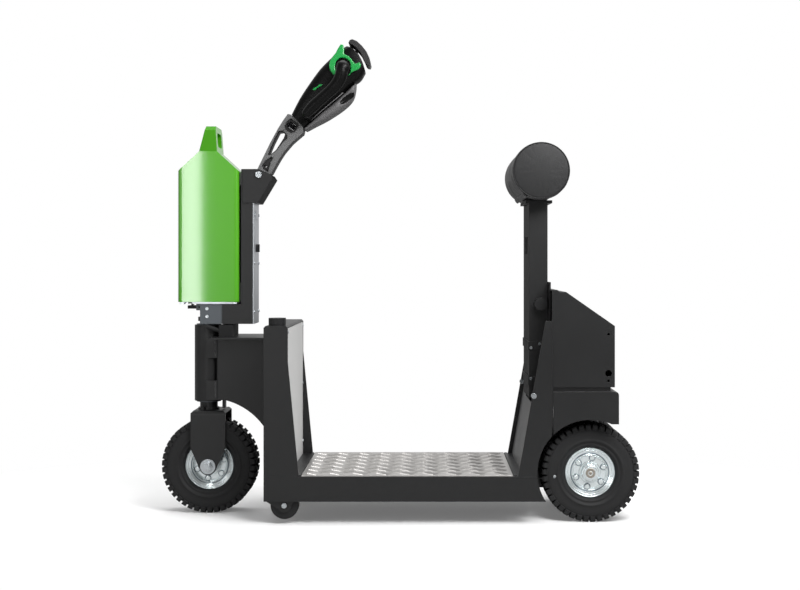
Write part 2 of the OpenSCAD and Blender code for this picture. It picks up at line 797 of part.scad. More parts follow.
module fork_front() difference() {
    union() {
        rounded(-fork_w / 2, crown_top - 3 * fork_bend, fork_w / 2, crown_top, fork_bend);
        translate([-fork_w / 2, 0]) square([fork_w, crown_top - 2 * fork_bend]);
    }
    translate([-fork_inner, -over]) square([2 * fork_inner, crown_top - fork_t + over]);
}
module fork_side() {
    w = fork_leg_w / 2;
    x = fork_tip_r * cos(fork_tip_angle);
    z = fork_tip_r * sin(fork_tip_angle);
    translate([front_x, tyre_r]) {
        circle(r = fork_tip_r, $fn = round_n);
        polygon([[-w, fork_taper], [-w, crown_top - fork_t - tyre_r], [fork_t - w, crown_top - tyre_r],
            [w - fork_t, crown_top - tyre_r], [w, crown_top - fork_t - tyre_r], [w, fork_taper],
            [x, -z], [-x, -z]]);
    }
}
module fork() color("#333436") difference() {
    union() {
        intersection() {
            side(fork_w + over) fork_side();
            translate([front_x - fork_leg_w / 2, 0, 0]) rotate([90, 0, 90])
                linear_extrude(height = fork_leg_w) fork_front();
        }
        for (s = [-1, 1]) translate([steer_x, 0, crown_top - over]) rotate([0, 0, s * lug_angle])
            block([lug_r - lug_w / 2, -lug_w / 2, 0], [lug_w, lug_w, lug_h + over]);
    }
    translate([front_x, 0, tyre_r]) rod_y(axle_d / 2 + fit, fork_w + 2 * over);
    translate([steer_x, 0, crown_top - fork_t - over]) rod_z(stem_d / 2 - fork_t + fit, 2 * fork_t);
}
module steering_stem() color("#6a6d71") translate([steer_x, 0, 0]) {
    translate([0, 0, crown_top - fork_t]) rod_z(stem_d / 2 - fork_t, fork_t + over);
    translate([0, 0, crown_top]) rod_z(stem_d / 2 + stem_collar_h, stem_collar_h);
    translate([0, 0, crown_top]) rod_z(stem_d / 2, base_z + base_t + stem_nut_h + over - crown_top);
    translate([0, 0, base_z + base_t + seat]) cylinder(d = stem_nut_d, h = stem_nut_h, $fn = 6);
}
module front_axle() color("#cfd2d6") translate([front_x, 0, tyre_r]) {
    rod_y(axle_d / 2, fork_w + 2 * (axle_washer_t + axle_nut_t + axle_end));
    both() {
        translate([0, (fork_w + axle_washer_t) / 2, 0]) rod_y(axle_washer_d / 2, axle_washer_t);
        translate([0, (fork_w + axle_nut_t) / 2 + axle_washer_t, 0]) round_y()
            cylinder(d = axle_nut_d, h = axle_nut_t, center = true, $fn = 6);
        translate([0, (fork_inner + hub_w / 2) / 2, 0]) rod_y(hub_r - over, fork_inner - hub_w / 2 - seat);
    }
}

// Steering head: base, shelf, battery latch

module steering_base() color("#4b5054") difference() {
    union() {
        block([base_x1, -base_w / 2, base_z], [base_x2 - base_x1, base_w, base_t]);
        both() block([base_x1, base_w / 2 - base_t, base_z], [base_x2 - base_x1, base_t, step_h - base_t]);
    }
    translate([steer_x, 0, base_z - over]) rod_z(stem_d / 2 + fit, base_t + 2 * over);
    for (z = rivet_zs) translate([rivet_x, 0, z]) rod_y(rivet_d / 4 + fit, base_w + 2 * over);
}
module base_rivets() color("#e3e6e8") both() for (z = rivet_zs) translate([rivet_x, base_w / 2, z]) {
    translate([0, rivet_t / 2, 0]) rod_y(rivet_d / 2, rivet_t);
    rod_y(rivet_d / 4, 2 * base_t);
}
module battery_shelf() color("#3a3d40") difference() {
    union() {
        block([base_x1, -base_w / 2, shelf_z - base_t], [base_x2 - base_x1, base_w, base_t]);
        both() block([latch_x - latch_h, latch_w / 2 + seat, latch_z - latch_h],
            [base_x1 - latch_x + 2 * latch_h, sheet, shelf_z - latch_z + latch_h - seat]);
    }
    translate([latch_x, 0, latch_z]) rod_y(latch_pin_d / 2 + fit, base_w);
}
module battery_latch() color("#26282a") translate([latch_x, 0, latch_z]) {
    rod_y(latch_h / 2, latch_w);
    rod_y(latch_pin_d / 2, latch_w + 2 * (seat + sheet));
    block([-latch_l, -latch_w / 2, -latch_h / 2], [latch_l, latch_w, latch_h]);
    block([-tooth_x, -latch_w / 4, 0], [latch_h / 2, latch_w / 2, tooth_h]);
}

// Battery

module case_side() polygon([[battery_x1, battery_z], [battery_x1, shoulder_z], [handle_x1, handle_z],
    [handle_x1 + handle_lean, handle_top], [handle_x1 + handle_base - handle_rear, handle_top],
    [handle_x1 + handle_base, handle_z], [battery_x2, shoulder_z], [battery_x2, battery_z]]);
module case_front() polygon([[-battery_w / 2, battery_z - over], [-battery_w / 2, handle_z],
    [2 * over - battery_w / 2, handle_top - battery_round], [battery_round - battery_w / 2, handle_top],
    [battery_w / 2 - battery_round, handle_top], [battery_w / 2 - 2 * over, handle_top - battery_round],
    [battery_w / 2, handle_z], [battery_w / 2, battery_z - over]]);
module battery_case() color("#5fae36") difference() {
    intersection() {
        side(battery_w + over) case_side();
        translate([0, 0, battery_z - over]) linear_extrude(height = handle_top - battery_z + 2 * over)
            rounded(battery_x1, -battery_w / 2, battery_x2, battery_w / 2, battery_round);
        translate([battery_x1 - over, 0, 0]) rotate([90, 0, 90])
            linear_extrude(height = battery_l + 2 * over) case_front();
    }
    translate([battery_x1, 0, 0]) rotate([90, 0, 90]) linear_extrude(height = battery_l)
        rounded(-grip_slot_w / 2, handle_z + grip_slot_z, grip_slot_w / 2,
            handle_z + grip_slot_z + grip_slot_h, battery_round);
}
module battery_foot() color("#c8ccd0") difference() {
    h = battery_gap - seat;
    union() {
        block([battery_x1 + (battery_l - foot_l) / 2, -foot_w / 2, shelf_z + seat], [foot_l, foot_w, h]);
        both() for (x = [battery_x1 + pad_l / 2, battery_x2 - 3 * pad_l / 2])
            block([x, (foot_w - pad_w) / 2, shelf_z + seat], [pad_l, pad_w, h]);
    }
    block([latch_x - tooth_x - latch_h / 3, -foot_w, shelf_z - over],
        [latch_h + 2 * over, 2 * foot_w, 2 * h]);
}

// Control box

module control_box() color("#2a2b2d") {
    w = control_wall;
    difference() {
        side(control_w) polygon([[base_x2 + fit, base_z], [control_x2, base_z], [control_x2, control_top],
            [control_x1, control_top], [control_x1, shelf_z], [base_x2 + fit, shelf_z]]);
        side(control_w - 2 * w) polygon([[base_x2 + w, base_z + w], [control_x2 + over, base_z + w],
            [control_x2 + over, control_top - w], [control_x1 + w, control_top - w],
            [control_x1 + w, shelf_z - w], [base_x2 + w, shelf_z - w]]);
    }
    both() {
        block([control_x1 - rail_t, control_w / 4, shelf_z + 2 * rail_w],
            [rail_t, rail_t, battery_h - 3 * rail_w]);
        for (z = box_screw_z) block(
            [control_x2 - screw_len, box_screw_y - screw_head_d / 2, z - screw_head_d / 2],
            [screw_len - seat, control_w / 2 - w / 2 - box_screw_y + screw_head_d / 2, screw_head_d]);
    }
}
module control_panel() color("#a9adb0") difference() {
    union() {
        block([control_x2, -control_w / 2, base_z], [panel_plate, control_w, control_top - base_z]);
        block([control_x2 + panel_plate, -label_w / 2, label_z - label_h / 2], [label_t, label_w, label_h]);
        block([control_x2 + panel_plate, -gauge_w / 2, gauge_z - gauge_h / 2], [gauge_t, gauge_w, gauge_h]);
    }
    translate([control_x2 - over, 0, key_z]) rod_x(key_d / 4 + fit, panel_plate + 2 * over);
}
module control_screws() color("#d5d8da") for (z = box_screw_z, s = [-1, 1])
    translate([control_x2 + panel_plate, s * box_screw_y, z]) rod_x(screw_head_d / 2, screw_head_t);
module key_switch() color("#1b1c1e") translate([control_x2 + panel_plate + seat, 0, key_z]) {
    rod_x(key_d / 2, knob_set);
    translate([-panel_plate - seat - knob_set, 0, 0]) rod_x(key_d / 4, panel_plate + seat + knob_set + over);
    block([0, -panel_plate / 2, -key_d / 2], [3 * knob_set, panel_plate, key_d]);
}

// Tiller

module ear_side() difference() {
    polygon([[control_x1 + rail_t, control_top], [pivot_x, control_top],
        [pivot_x + ear_nose[0], control_top - ear_nose[1]],
        [pivot_x + ear_chin[0], control_top - ear_chin[1]],
        [pivot_x - rail_t / 2, control_top - ear_low], [control_x1 + rail_t, control_top - ear_low]]);
    translate([pivot_x, pivot_z]) circle(d = pivot_d + 2 * fit, $fn = round_n);
}
module tiller_bracket() color("#3a3b3d") {
    x = control_x2 + panel_plate + label_t;
    both() translate([0, (control_w + ear_t) / 2, 0]) side(ear_t) ear_side();
    side(control_w + over) polygon([
        [pivot_x + ear_chin[0], control_top - ear_chin[1]],
        [pivot_x + ear_chin[0] - ear_t, control_top - ear_chin[1]],
        [x, control_top - ear_low + ear_t], [x, control_top - ear_low],
        [pivot_x - rail_t / 2, control_top - ear_low]]);
}
module pivot_bolt() color("#d9dcde") translate([pivot_x, 0, pivot_z]) {
    rod_y(pivot_d / 2, control_w + 2 * ear_t + over);
    both() {
        translate([0, (control_w + pivot_head_t) / 2 + ear_t, 0]) rod_y(pivot_head_d / 2, pivot_head_t);
        translate([0, (arm_w + control_w) / 4, 0]) rod_y(boss_r - bush_t, (control_w - arm_w) / 2 - 2 * seat);
    }
}
module arm_side() {
    polygon(concat(sized(arm_front_shares, arm_len),
        [to_arm(body_shares[0] * grip_len), to_arm(body_shares[len(body_shares) - 1] * grip_len),
         to_arm(guard_shares[0] * grip_len), to_arm([arm_heel, 0])],
        sized(arm_back_shares, arm_len)));
}
module tiller_arm() color("#5b5d5f") at_pivot() difference() {
    union() {
        side(arm_w) arm_side();
        rod_y(boss_r, arm_w);
    }
    rod_y(pivot_d / 2 + fit, arm_w + 2 * over);
    side(arm_w + 2 * over) {
        slot2d(slot_low, slot_top, slot_r);
        translate(hole_at) circle(r = hole_r, $fn = round_n);
        rounded(window_v - window_r, window_u - window_r, window_v + window_r, window_u + window_r,
            window_round);
    }
    both() translate([0, (arm_w - pocket_depth) / 2 + over, 0]) side(pocket_depth) {
        slot2d(slot_low, slot_top, pocket_r);
        polygon(pocket_outline);
    }
}
// The coil spring across the arm's window: one tube swept along a helix.
spring_r = (spring_d - spring_wire) / 2;
spring_len = 2 * window_r - spring_wire - 2 * seat;
function coil_ring(t) = let (
        a = 360 * spring_turns * t,
        rise = 2 * PI * spring_turns * spring_r,
        middle = [spring_len * (t - 1 / 2), spring_r * cos(a), spring_r * sin(a)],
        tangent = [spring_len, -rise * sin(a), rise * cos(a)],
        t1 = tangent / norm(tangent),
        n1 = [0, cos(a), sin(a)],
        b1 = cross(t1, n1))
    [for (k = [0 : spring_sides - 1]) middle + spring_wire / 2
        * (n1 * cos(360 * k / spring_sides) + b1 * sin(360 * k / spring_sides))];
module arm_spring() color("#1c1d1f") at_pivot() translate([window_v, 0, window_u]) {
    n = spring_sides;
    rings = spring_turns * spring_rings;
    polyhedron(points = [for (i = [0 : rings]) each coil_ring(i / rings)],
        faces = concat([[for (k = [0 : n - 1]) k]], [[for (k = [n - 1 : -1 : 0]) rings * n + k]],
            [for (i = [0 : rings - 1], k = [0 : n - 1], h = [0, 1])
                let (a = i * n + k, b = i * n + (k + 1) % n) h == 0 ? [a, a + n, b] : [b, a + n, b + n]]));
}
module head_plan() polygon(concat(
    [for (p = plan_shares) [-p[0] * body_w, p[1] * grip_len]],
    [for (i = [len(plan_shares) - 1 : -1 : 0]) [plan_shares[i][0] * body_w, plan_shares[i][1] * grip_len]]));
module tiller_head() color("#2c2a2b") at_head() difference() {
    intersection() {
        side(body_w) polygon(sized(body_shares, grip_len));
        translate([-grip_len / 2, 0, 0]) rotate([90, 0, 90]) linear_extrude(height = grip_len) head_plan();
    }
    for (s = [-1, 1]) translate([switch_v, s * switch_y, switch_u - 2 * end_cap_travel])
        rod_z(bolt_d / 2 + fit, 5 * end_cap_travel);
    both() translate([horn_v, body_w / 2, horn_u]) rod_y(horn_d / 2 + fit, 2 * horn_h);
}
module head_guard() color("#6a696a") at_head() side(guard_w) polygon(sized(guard_shares, grip_len));
// One hand grip with its two bridges to the body.
module hand_grip() {
    y = grip_w / 2 - grip_flat_share * grip_balls[0][2];
    foot = grip_balls[len(grip_balls) - 1];
    y1 = body_w * plan_shares[1][0];
    hull() {
        for (b = grip_balls) translate([b[0], y, b[1]])
            scale([1, grip_flat_share, 1]) sphere(r = b[2], $fn = soft_n);
    }
    y2 = bridge_reach_share * y;
    translate([grip_v, (body_w / 2 + y2) / 2, grip_u2]) rod_y(throttle_hub_r, y2 - body_w / 2);
    translate([foot[0], (y1 + y2) / 2, foot[1]]) rod_y(bridge_r, y2 - y1);
}
module hand_grips() color("#232224") at_head() both() hand_grip();
module wing2d() {
    difference() {
        circle(r = throttle_r, $fn = round_n);
        circle(r = throttle_hub_r + fit, $fn = round_n);
    }
    polygon(wing_outline);
    polygon(tab_outline);
}
module throttle(s) color("#12a04b") at_head()
    translate([grip_v, s * (body_w / 2 + seat + throttle_t / 2), grip_u2]) side(throttle_t) wing2d();
module left_throttle() throttle(1);
module right_throttle() throttle(-1);
module end_switch() color("#2f2e2f") at_head() {
    side(end_cap_w) polygon(sized(cap_shares, grip_len));
    for (s = [-1, 1]) translate([switch_v, s * switch_y, switch_u]) rod_z(bolt_d / 2, 4 * end_cap_travel);
}
module horn(s) color("#2aa35a") at_head()
    translate([horn_v, s * (body_w / 2 + horn_travel - horn_h / 2 + seat), horn_u]) rod_y(horn_d / 2, horn_h);
module left_horn_button() horn(1);
module right_horn_button() horn(-1);

// Rear frame

module rear_uprights() color("#2f3032") difference() {
    both() {
        translate([0, deck_half - sheet / 2, 0]) side(sheet)
            polygon([[upright_x0, deck_top], [upright_tip_x, upright_top], [upright_x1, upright_top],
                [upright_x1, deck_top]]);
        block([upright_x1 - sheet, deck_half - sheet - flange_w, back_z],
            [sheet, flange_w + sheet / 2, upright_top - sheet - back_z]);
    }
    arch_cut(deck_w + over);
    both() translate([upright_bolt_x, deck_half, upright_bolt_z]) rod_y(screw_shank_d / 2 + fit, 3 * sheet);
}
module rear_panel() color("#b4b6b7") difference() {
    z = panel_top - deck_top;
    x = upright_x0 + slope_inset;
    side(deck_w - 2 * (sheet + fit)) polygon([[x, deck_top], [x + slope * z, panel_top],
        [x + slope * z + panel_lip, panel_top], [x + slope * z + panel_lip, panel_top - slope_t],
        [x + slope_t + slope * z, panel_top - slope_t], [x + slope_t, deck_top]]);
    block([upright_x0, -strap_in, post_bottom - travel_down - strap_t],
        [upright_foot, 2 * strap_in, panel_top]);
}
module back_plate() color("#1e1f20") {
    w = box_w - 2 * (box_t + post_gap);
    block([back_x, -w / 2, back_z], [back_t, w, upright_top - sheet - back_z]);
    block([back_x, -back_w / 2, back_z], [back_t, back_w, back_top - back_z]);
    block([back_x, -beam_y, deck_top - sheet], [back_t, 2 * beam_y, back_z - deck_top + 2 * sheet]);
    // Guide rails inside the post
    both() block([rail_x1, rail_y - post_t, strap_z[0]],
        [back_x - rail_x1 + over, post_t, back_top - strap_z[0]]);
}
module post_straps() color("#242527") difference() {
    for (z = strap_z) translate([strap_x1, 0, z - strap_h / 2]) difference() {
        block([0, -strap_in - strap_t, 0], [back_x - strap_x1, 2 * (strap_in + strap_t), strap_h]);
        block([strap_t, -strap_in, -over], [post_l + 2 * post_gap + over, 2 * strap_in, strap_h + 2 * over]);
    }
    for (b = strap_bolts_at) translate([post_x1 + b[1], 0, strap_z[b[0]] + b[2]])
        rod_y(screw_shank_d / 2 + fit, 2 * (strap_in + 2 * strap_t));
}
module strap_bolts() color("#c9ccce") {
    both() for (b = strap_bolts_at) translate([post_x1 + b[1], strap_in + strap_t, strap_z[b[0]] + b[2]]) {
        translate([0, screw_head_t / 2, 0]) rod_y(screw_head_d / 2, screw_head_t);
        translate([0, -strap_t / 2, 0]) rod_y(screw_shank_d / 2, strap_t);
    }
    both() translate([upright_bolt_x, deck_half, upright_bolt_z]) {
        translate([0, bolt_low_t / 2, 0]) rod_y(bolt_head_d / 2, bolt_low_t);
        translate([0, -sheet / 2, 0]) rod_y(screw_shank_d / 2, sheet);
        translate([0, -sheet - bolt_head_t / 2, 0]) rod_y(bolt_head_d / 2, bolt_head_t);
    }
}

// Seat

module seat_post() color("#333436") difference() {
    union() {
        difference() {
            block([post_x1, -post_w / 2, post_bottom], [post_l, post_w, post_top - post_bottom]);
            block([post_x1 + post_t, -post_w / 2 + post_t, post_bottom - over],
                [post_l, post_w - 2 * post_t, post_top - post_t - post_bottom + over]);
        }
        block([bolster_x - saddle_l / 2, -post_w / 2, post_top], [saddle_l, post_w, saddle_t]);
    }
    block([post_x1 - over, -window_w / 2, window_z], [post_t + 2 * over, window_w, window_h]);
    translate([knob_x, (post_t - post_w) / 2, knob_z]) rod_y(stud_d / 2 + fit, post_t + 2 * over);
}
// Half profile of the bolster: a crowned end, a drawn-in seam, a barrel that swells to the middle.
bolster_mid = bolster_len / 2 - bolster_crown - bolster_edge;
function bolster_half() = concat(
    [for (i = [0 : 3]) [(bolster_r - bolster_edge) * i / 3, bolster_len / 2 - bolster_crown * pow(i / 3, 2)]],
    [for (a = [60 : -30 : 0]) [bolster_r - bolster_nip - bolster_edge * (1 - cos(a)),
        bolster_mid + bolster_edge * sin(a)]],
    [for (i = [0 : 3]) [bolster_r - bolster_nip * pow(1 - i / 3, 2),
        (bolster_mid - bolster_nip) * (1 - i / 3)]]);
module seat_bolster() color("#3b3c3e") difference() {
    h = bolster_half();
    translate([bolster_x, 0, bolster_z]) round_y() rotate_extrude($fn = round_n)
        polygon(concat(h, [for (i = [len(h) - 2 : -1 : 0]) [h[i][0], -h[i][1]]]));
    block([bolster_x - saddle_l / 2 - over, -post_w / 2 - over, bolster_z - bolster_d],
        [saddle_l + 2 * over, post_w + 2 * over, post_top + saddle_t - bolster_z + bolster_d]);
}
module post_knob() color("#191a1b") translate([knob_x, -post_w / 2 - seat, knob_z]) {
    translate([0, -knob_l / 2, 0]) round_y() difference() {
        cylinder(d = knob_d, h = knob_l, center = true, $fn = round_n);
        for (i = [0 : knob_lobes - 1]) rotate([0, 0, (i + 1 / 2) * 360 / knob_lobes])
            translate([lobe_r, 0, 0])
                cylinder(d = knob_d / 4, h = knob_l + over, center = true, $fn = round_n);
    }
    translate([0, (post_t + guard_gap) / 2 - over, 0]) rod_y(stud_d / 2, post_t + guard_gap + over);
}

// Rear body

module box_side(t) polygon([
    [box_x1 - t, box_z + t], [box_x1 - t, box_top - t], [box_x1 + box_lip_l, box_top - t],
    [box_x1 + box_lip_l + box_lip_h, box_top - box_lip_h - t], [box_x1 + box_flat, box_top - box_lip_h - t],
    [box_x2 - t, box_z + box_low_h - t], [box_x2 - t, box_z + t]]);
module rear_box() color("#2d2e30") difference() {
    side(box_w) box_side(0);
    side(box_w - 2 * box_t) box_side(box_t);
    block([box_x1 - over, 5 * box_t - box_w / 2, box_z - over],
        [box_l - 5 * box_t, box_w - 10 * box_t, box_t + 2 * over]);
    block([box_x1 - over, box_t - box_w / 2, box_z - over],
        [back_t + 2 * over, box_w - 2 * box_t, box_t + 2 * over]);
    block([box_x1 - over, -back_w / 2 - post_gap, box_z],
        [back_t + 2 * over, back_w + 2 * post_gap, box_h + over]);
    translate([socket_x, 0, socket_hole_z]) rod_y(socket_hole_d / 2, box_w + over);
    for (z = fix_z) translate([socket_x, 0, z]) rod_y(fix_d / 2, box_w + over);
}
module cover_edge() polygon([
    [cover_x2 - cover_round, cover_top], [cover_x2 - cover_cut, cover_top - cover_cut],
    [cover_x2, cover_top - cover_round], [cover_x2, cover_z], [cover_x2 - box_t, cover_z],
    [cover_x2 - box_t, cover_top - cover_round], [cover_x2 - cover_round, cover_top - box_t]]);
module cover_side() difference() {
    polygon([[cover_x1, arch_z], [cover_x1, cover_top], [cover_x2 - cover_round, cover_top],
        [cover_x2 - cover_cut, cover_top - cover_cut], [cover_x2, cover_top - cover_round],
        [cover_x2, cover_z], [arch_x, cover_z], [arch_x, arch_z]]);
    translate([arch_x, arch_z]) circle(r = arch_r, $fn = 2 * round_n);
}
module wheel_cover() color("#313234") {
    both() translate([0, (deck_w - box_t) / 2, 0]) side(box_t) cover_side();
    block([cover_x1, -deck_half, cover_top - box_t], [cover_x2 - cover_round - cover_x1, deck_w, box_t]);
    side(deck_w) cover_edge();
    translate([cover_x1, 0, 0]) difference() {
        block([0, -rim_y, cover_top - over], [rim_x, 2 * rim_y, box_z - cover_top + over]);
        block([-over, -rim_y + cover_rim_w, cover_top - 2 * over],
            [rim_x + over - cover_rim_w, 2 * (rim_y - cover_rim_w), box_z - cover_top + 3 * over]);
    }
}

// Drive unit

module transaxle() color("#6d7073") {
    difference() {
        translate([rear_x, 0, tyre_r]) {
            rod_y(gear_r, gear_w);
            rod_y(gear_end_r, gear_end_w);
            translate([motor_off, 0, 0]) rod_z(motor_neck_r, gear_r + beam_t);
        }
        translate([rear_x, 0, tyre_r]) rod_y(axle_d / 2 + fit, gear_end_w + over);
    }
    both() difference() {
        block([upright_x0, beam_y - beam_t / 2, deck_top - sheet - beam_h],
            [rear_x - upright_x0, beam_t, beam_h]);
        translate([rear_x, beam_y, tyre_r]) rod_y(axle_d / 2 + fit, 2 * beam_t);
    }
}
module drive_motor() color("#3a3c3f") translate([rear_x + motor_off, 0, tyre_r + gear_r + beam_t]) {
    rod_z(motor_r, motor_l - motor_cap_h);
    translate([0, 0, motor_l - motor_cap_h]) rod_z(motor_cap_r, motor_cap_h);
}
module motor_controller() color("#8b8f93") translate([back_x + back_t, 0, ctrl_z]) {
    block([0, -ctrl_w / 2, 0], [ctrl_h / 2, ctrl_w, ctrl_l]);
    for (i = [0 : ctrl_fins - 1])
        block([0, -ctrl_w / 2 + i * (ctrl_w - ctrl_fin_t) / (ctrl_fins - 1), 0],
            [ctrl_h, ctrl_fin_t, ctrl_l]);
}

deck_frame();
tread_plate();
front_column();
column_panel();
panel_screws();
column_socket();
column_cap();
neck_arm();
head_tube();
upper_bearing();
lower_bearing();
cable_boot();
support_brackets();
support_axles();
left_support_wheel();
right_support_wheel();
fork();
steering_stem();
front_axle();
front_rim();
front_tyre();
steering_base();
base_rivets();
battery_shelf();
control_box();
control_panel();
control_screws();
key_switch();
tiller_bracket();
pivot_bolt();
battery_case();
battery_foot();
battery_latch();
tiller_arm();
arm_spring();
tiller_head();
hand_grips();
head_guard();
left_throttle();
right_throttle();
end_switch();
left_horn_button();
right_horn_button();
rear_uprights();
rear_panel();
back_plate();
post_straps();
strap_bolts();
seat_post();
seat_bolster();
post_knob();
rear_box();
wheel_cover();
transaxle();
drive_motor();
motor_controller();
left_rear_rim();
left_rear_tyre();
right_rear_rim();
right_rear_tyre();
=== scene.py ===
import json
import math

import bmesh
import bpy
from mathutils import Matrix, Vector


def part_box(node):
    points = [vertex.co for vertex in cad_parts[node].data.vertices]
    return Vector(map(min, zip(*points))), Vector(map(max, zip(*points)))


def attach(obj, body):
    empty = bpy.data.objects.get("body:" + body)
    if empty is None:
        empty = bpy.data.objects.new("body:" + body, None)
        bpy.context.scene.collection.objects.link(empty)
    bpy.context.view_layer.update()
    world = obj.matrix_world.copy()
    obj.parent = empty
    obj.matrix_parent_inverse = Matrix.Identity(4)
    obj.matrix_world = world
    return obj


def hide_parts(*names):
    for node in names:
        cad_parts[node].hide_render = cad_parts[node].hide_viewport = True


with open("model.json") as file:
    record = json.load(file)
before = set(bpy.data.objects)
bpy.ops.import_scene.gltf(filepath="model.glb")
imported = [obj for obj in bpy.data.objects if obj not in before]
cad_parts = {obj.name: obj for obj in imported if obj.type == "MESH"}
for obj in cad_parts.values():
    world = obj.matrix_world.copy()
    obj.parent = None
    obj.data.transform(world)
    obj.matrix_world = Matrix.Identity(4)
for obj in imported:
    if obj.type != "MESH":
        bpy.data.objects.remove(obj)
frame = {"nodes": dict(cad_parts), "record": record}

for spare in ("Cube", "Light", "Camera"):
    if spare in bpy.data.objects:
        bpy.data.objects.remove(bpy.data.objects[spare])
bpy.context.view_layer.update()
scene = bpy.context.scene
scene.view_settings.view_transform = "Standard"
MM = 0.001
SIDES = ((-1, "right"), (1, "left"))

# Camera

CAMERA_AT = (0.0825, -3.5, 0.70)
SENSOR = 36
PICTURE_PIXELS = 800
FOCAL_PIXELS = 1225
SHIFT_PIXELS = (-26, -30)
VIEW_END = 60


def add_camera():
    """Level, square onto the machine's side; the shift moves the centre of view off the picture's middle."""
    camera = bpy.data.objects.new("camera", bpy.data.cameras.new("camera"))
    scene.collection.objects.link(camera)
    camera.location = CAMERA_AT
    camera.rotation_euler = (math.radians(90), 0, 0)
    camera.data.sensor_width = SENSOR
    camera.data.lens = SENSOR * FOCAL_PIXELS / PICTURE_PIXELS
    camera.data.shift_x, camera.data.shift_y = [s / PICTURE_PIXELS for s in SHIFT_PIXELS]
    camera.data.clip_end = VIEW_END
    scene.camera = camera


add_camera()

# Points and faces


def polar(radius, degrees, centre=(0, 0)):
    a = math.radians(degrees)
    return centre[0] + radius * math.cos(a), centre[1] + radius * math.sin(a)


def circle(radius, count, centre=(0, 0)):
    return [polar(radius, 360 * k / count, centre) for k in range(count)]


def ring(centre, radius, u, w, count):
    """Points round a centre, in the plane of two square directions."""
    return [centre + radius * (u * c + w * s) for c, s in circle(1, count)]


def grid_faces(rings, around):
    """The faces between neighbouring rings that have the same number of points."""
    return [[i * around + k, i * around + (k + 1) % around,
             (i + 1) * around + (k + 1) % around, (i + 1) * around + k]
            for i in range(rings - 1) for k in range(around)]


def closed_grid(rings, around):
    """The same, with a face over each end."""
    ends = [list(range(around - 1, -1, -1)), [(rings - 1) * around + k for k in range(around)]]
    return grid_faces(rings, around) + ends


def slab_faces(n):
    """The faces of two matching outlines of n points and the band between them."""
    band = [[i, i + n, (i + 1) % n + n, (i + 1) % n] for i in range(n)]
    return [list(range(n)), list(range(2 * n - 1, n - 1, -1))] + band


def curve_through(points, n):
    """n + 1 points on a smooth curve through the given ones."""
    pts = [Vector(p) for p in points]
    pts = [2 * pts[0] - pts[1]] + pts + [2 * pts[-1] - pts[-2]]
    out = []
    spans = len(pts) - 3
    for i in range(n + 1):
        f = i / n * spans
        k = min(int(f), spans - 1)
        t = f - k
        a, b, c, d = pts[k:k + 4]
        square = 2 * a - 5 * b + 4 * c - d
        cube = 3 * b - a - 3 * c + d
        out.append(0.5 * ((2 * b) + (c - a) * t + square * t * t + cube * t ** 3))
    return out


def closed_curve(points, n):
    """n points on a smooth curve that comes back to its start."""
    return [tuple(q) for q in curve_through(points + points[:1], n)[:-1]]


# Mesh pieces


def link(obj):
    scene.collection.objects.link(obj)
    return obj


def piece(name, verts, faces, material, body, smooth=False):
    """A mesh piece in the row frame that rides on a body."""
    mesh = bpy.data.meshes.new(name)
    mesh.from_pydata([tuple(v) for v in verts], [], faces)
    mesh.update()
    bm = bmesh.new()
    bm.from_mesh(mesh)
    bmesh.ops.recalc_face_normals(bm, faces=bm.faces)
    bm.to_mesh(mesh)
    bm.free()
    for p in mesh.polygons:
        p.use_smooth = smooth
    obj = link(bpy.data.objects.new(name, mesh))
    mesh.materials.append(material)
    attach(obj, body)
    return obj


def sharpen(obj, degrees):
    """Keeps edges over an angle sharp on a smooth piece."""
    obj.data.set_sharp_from_angle(angle=math.radians(degrees))


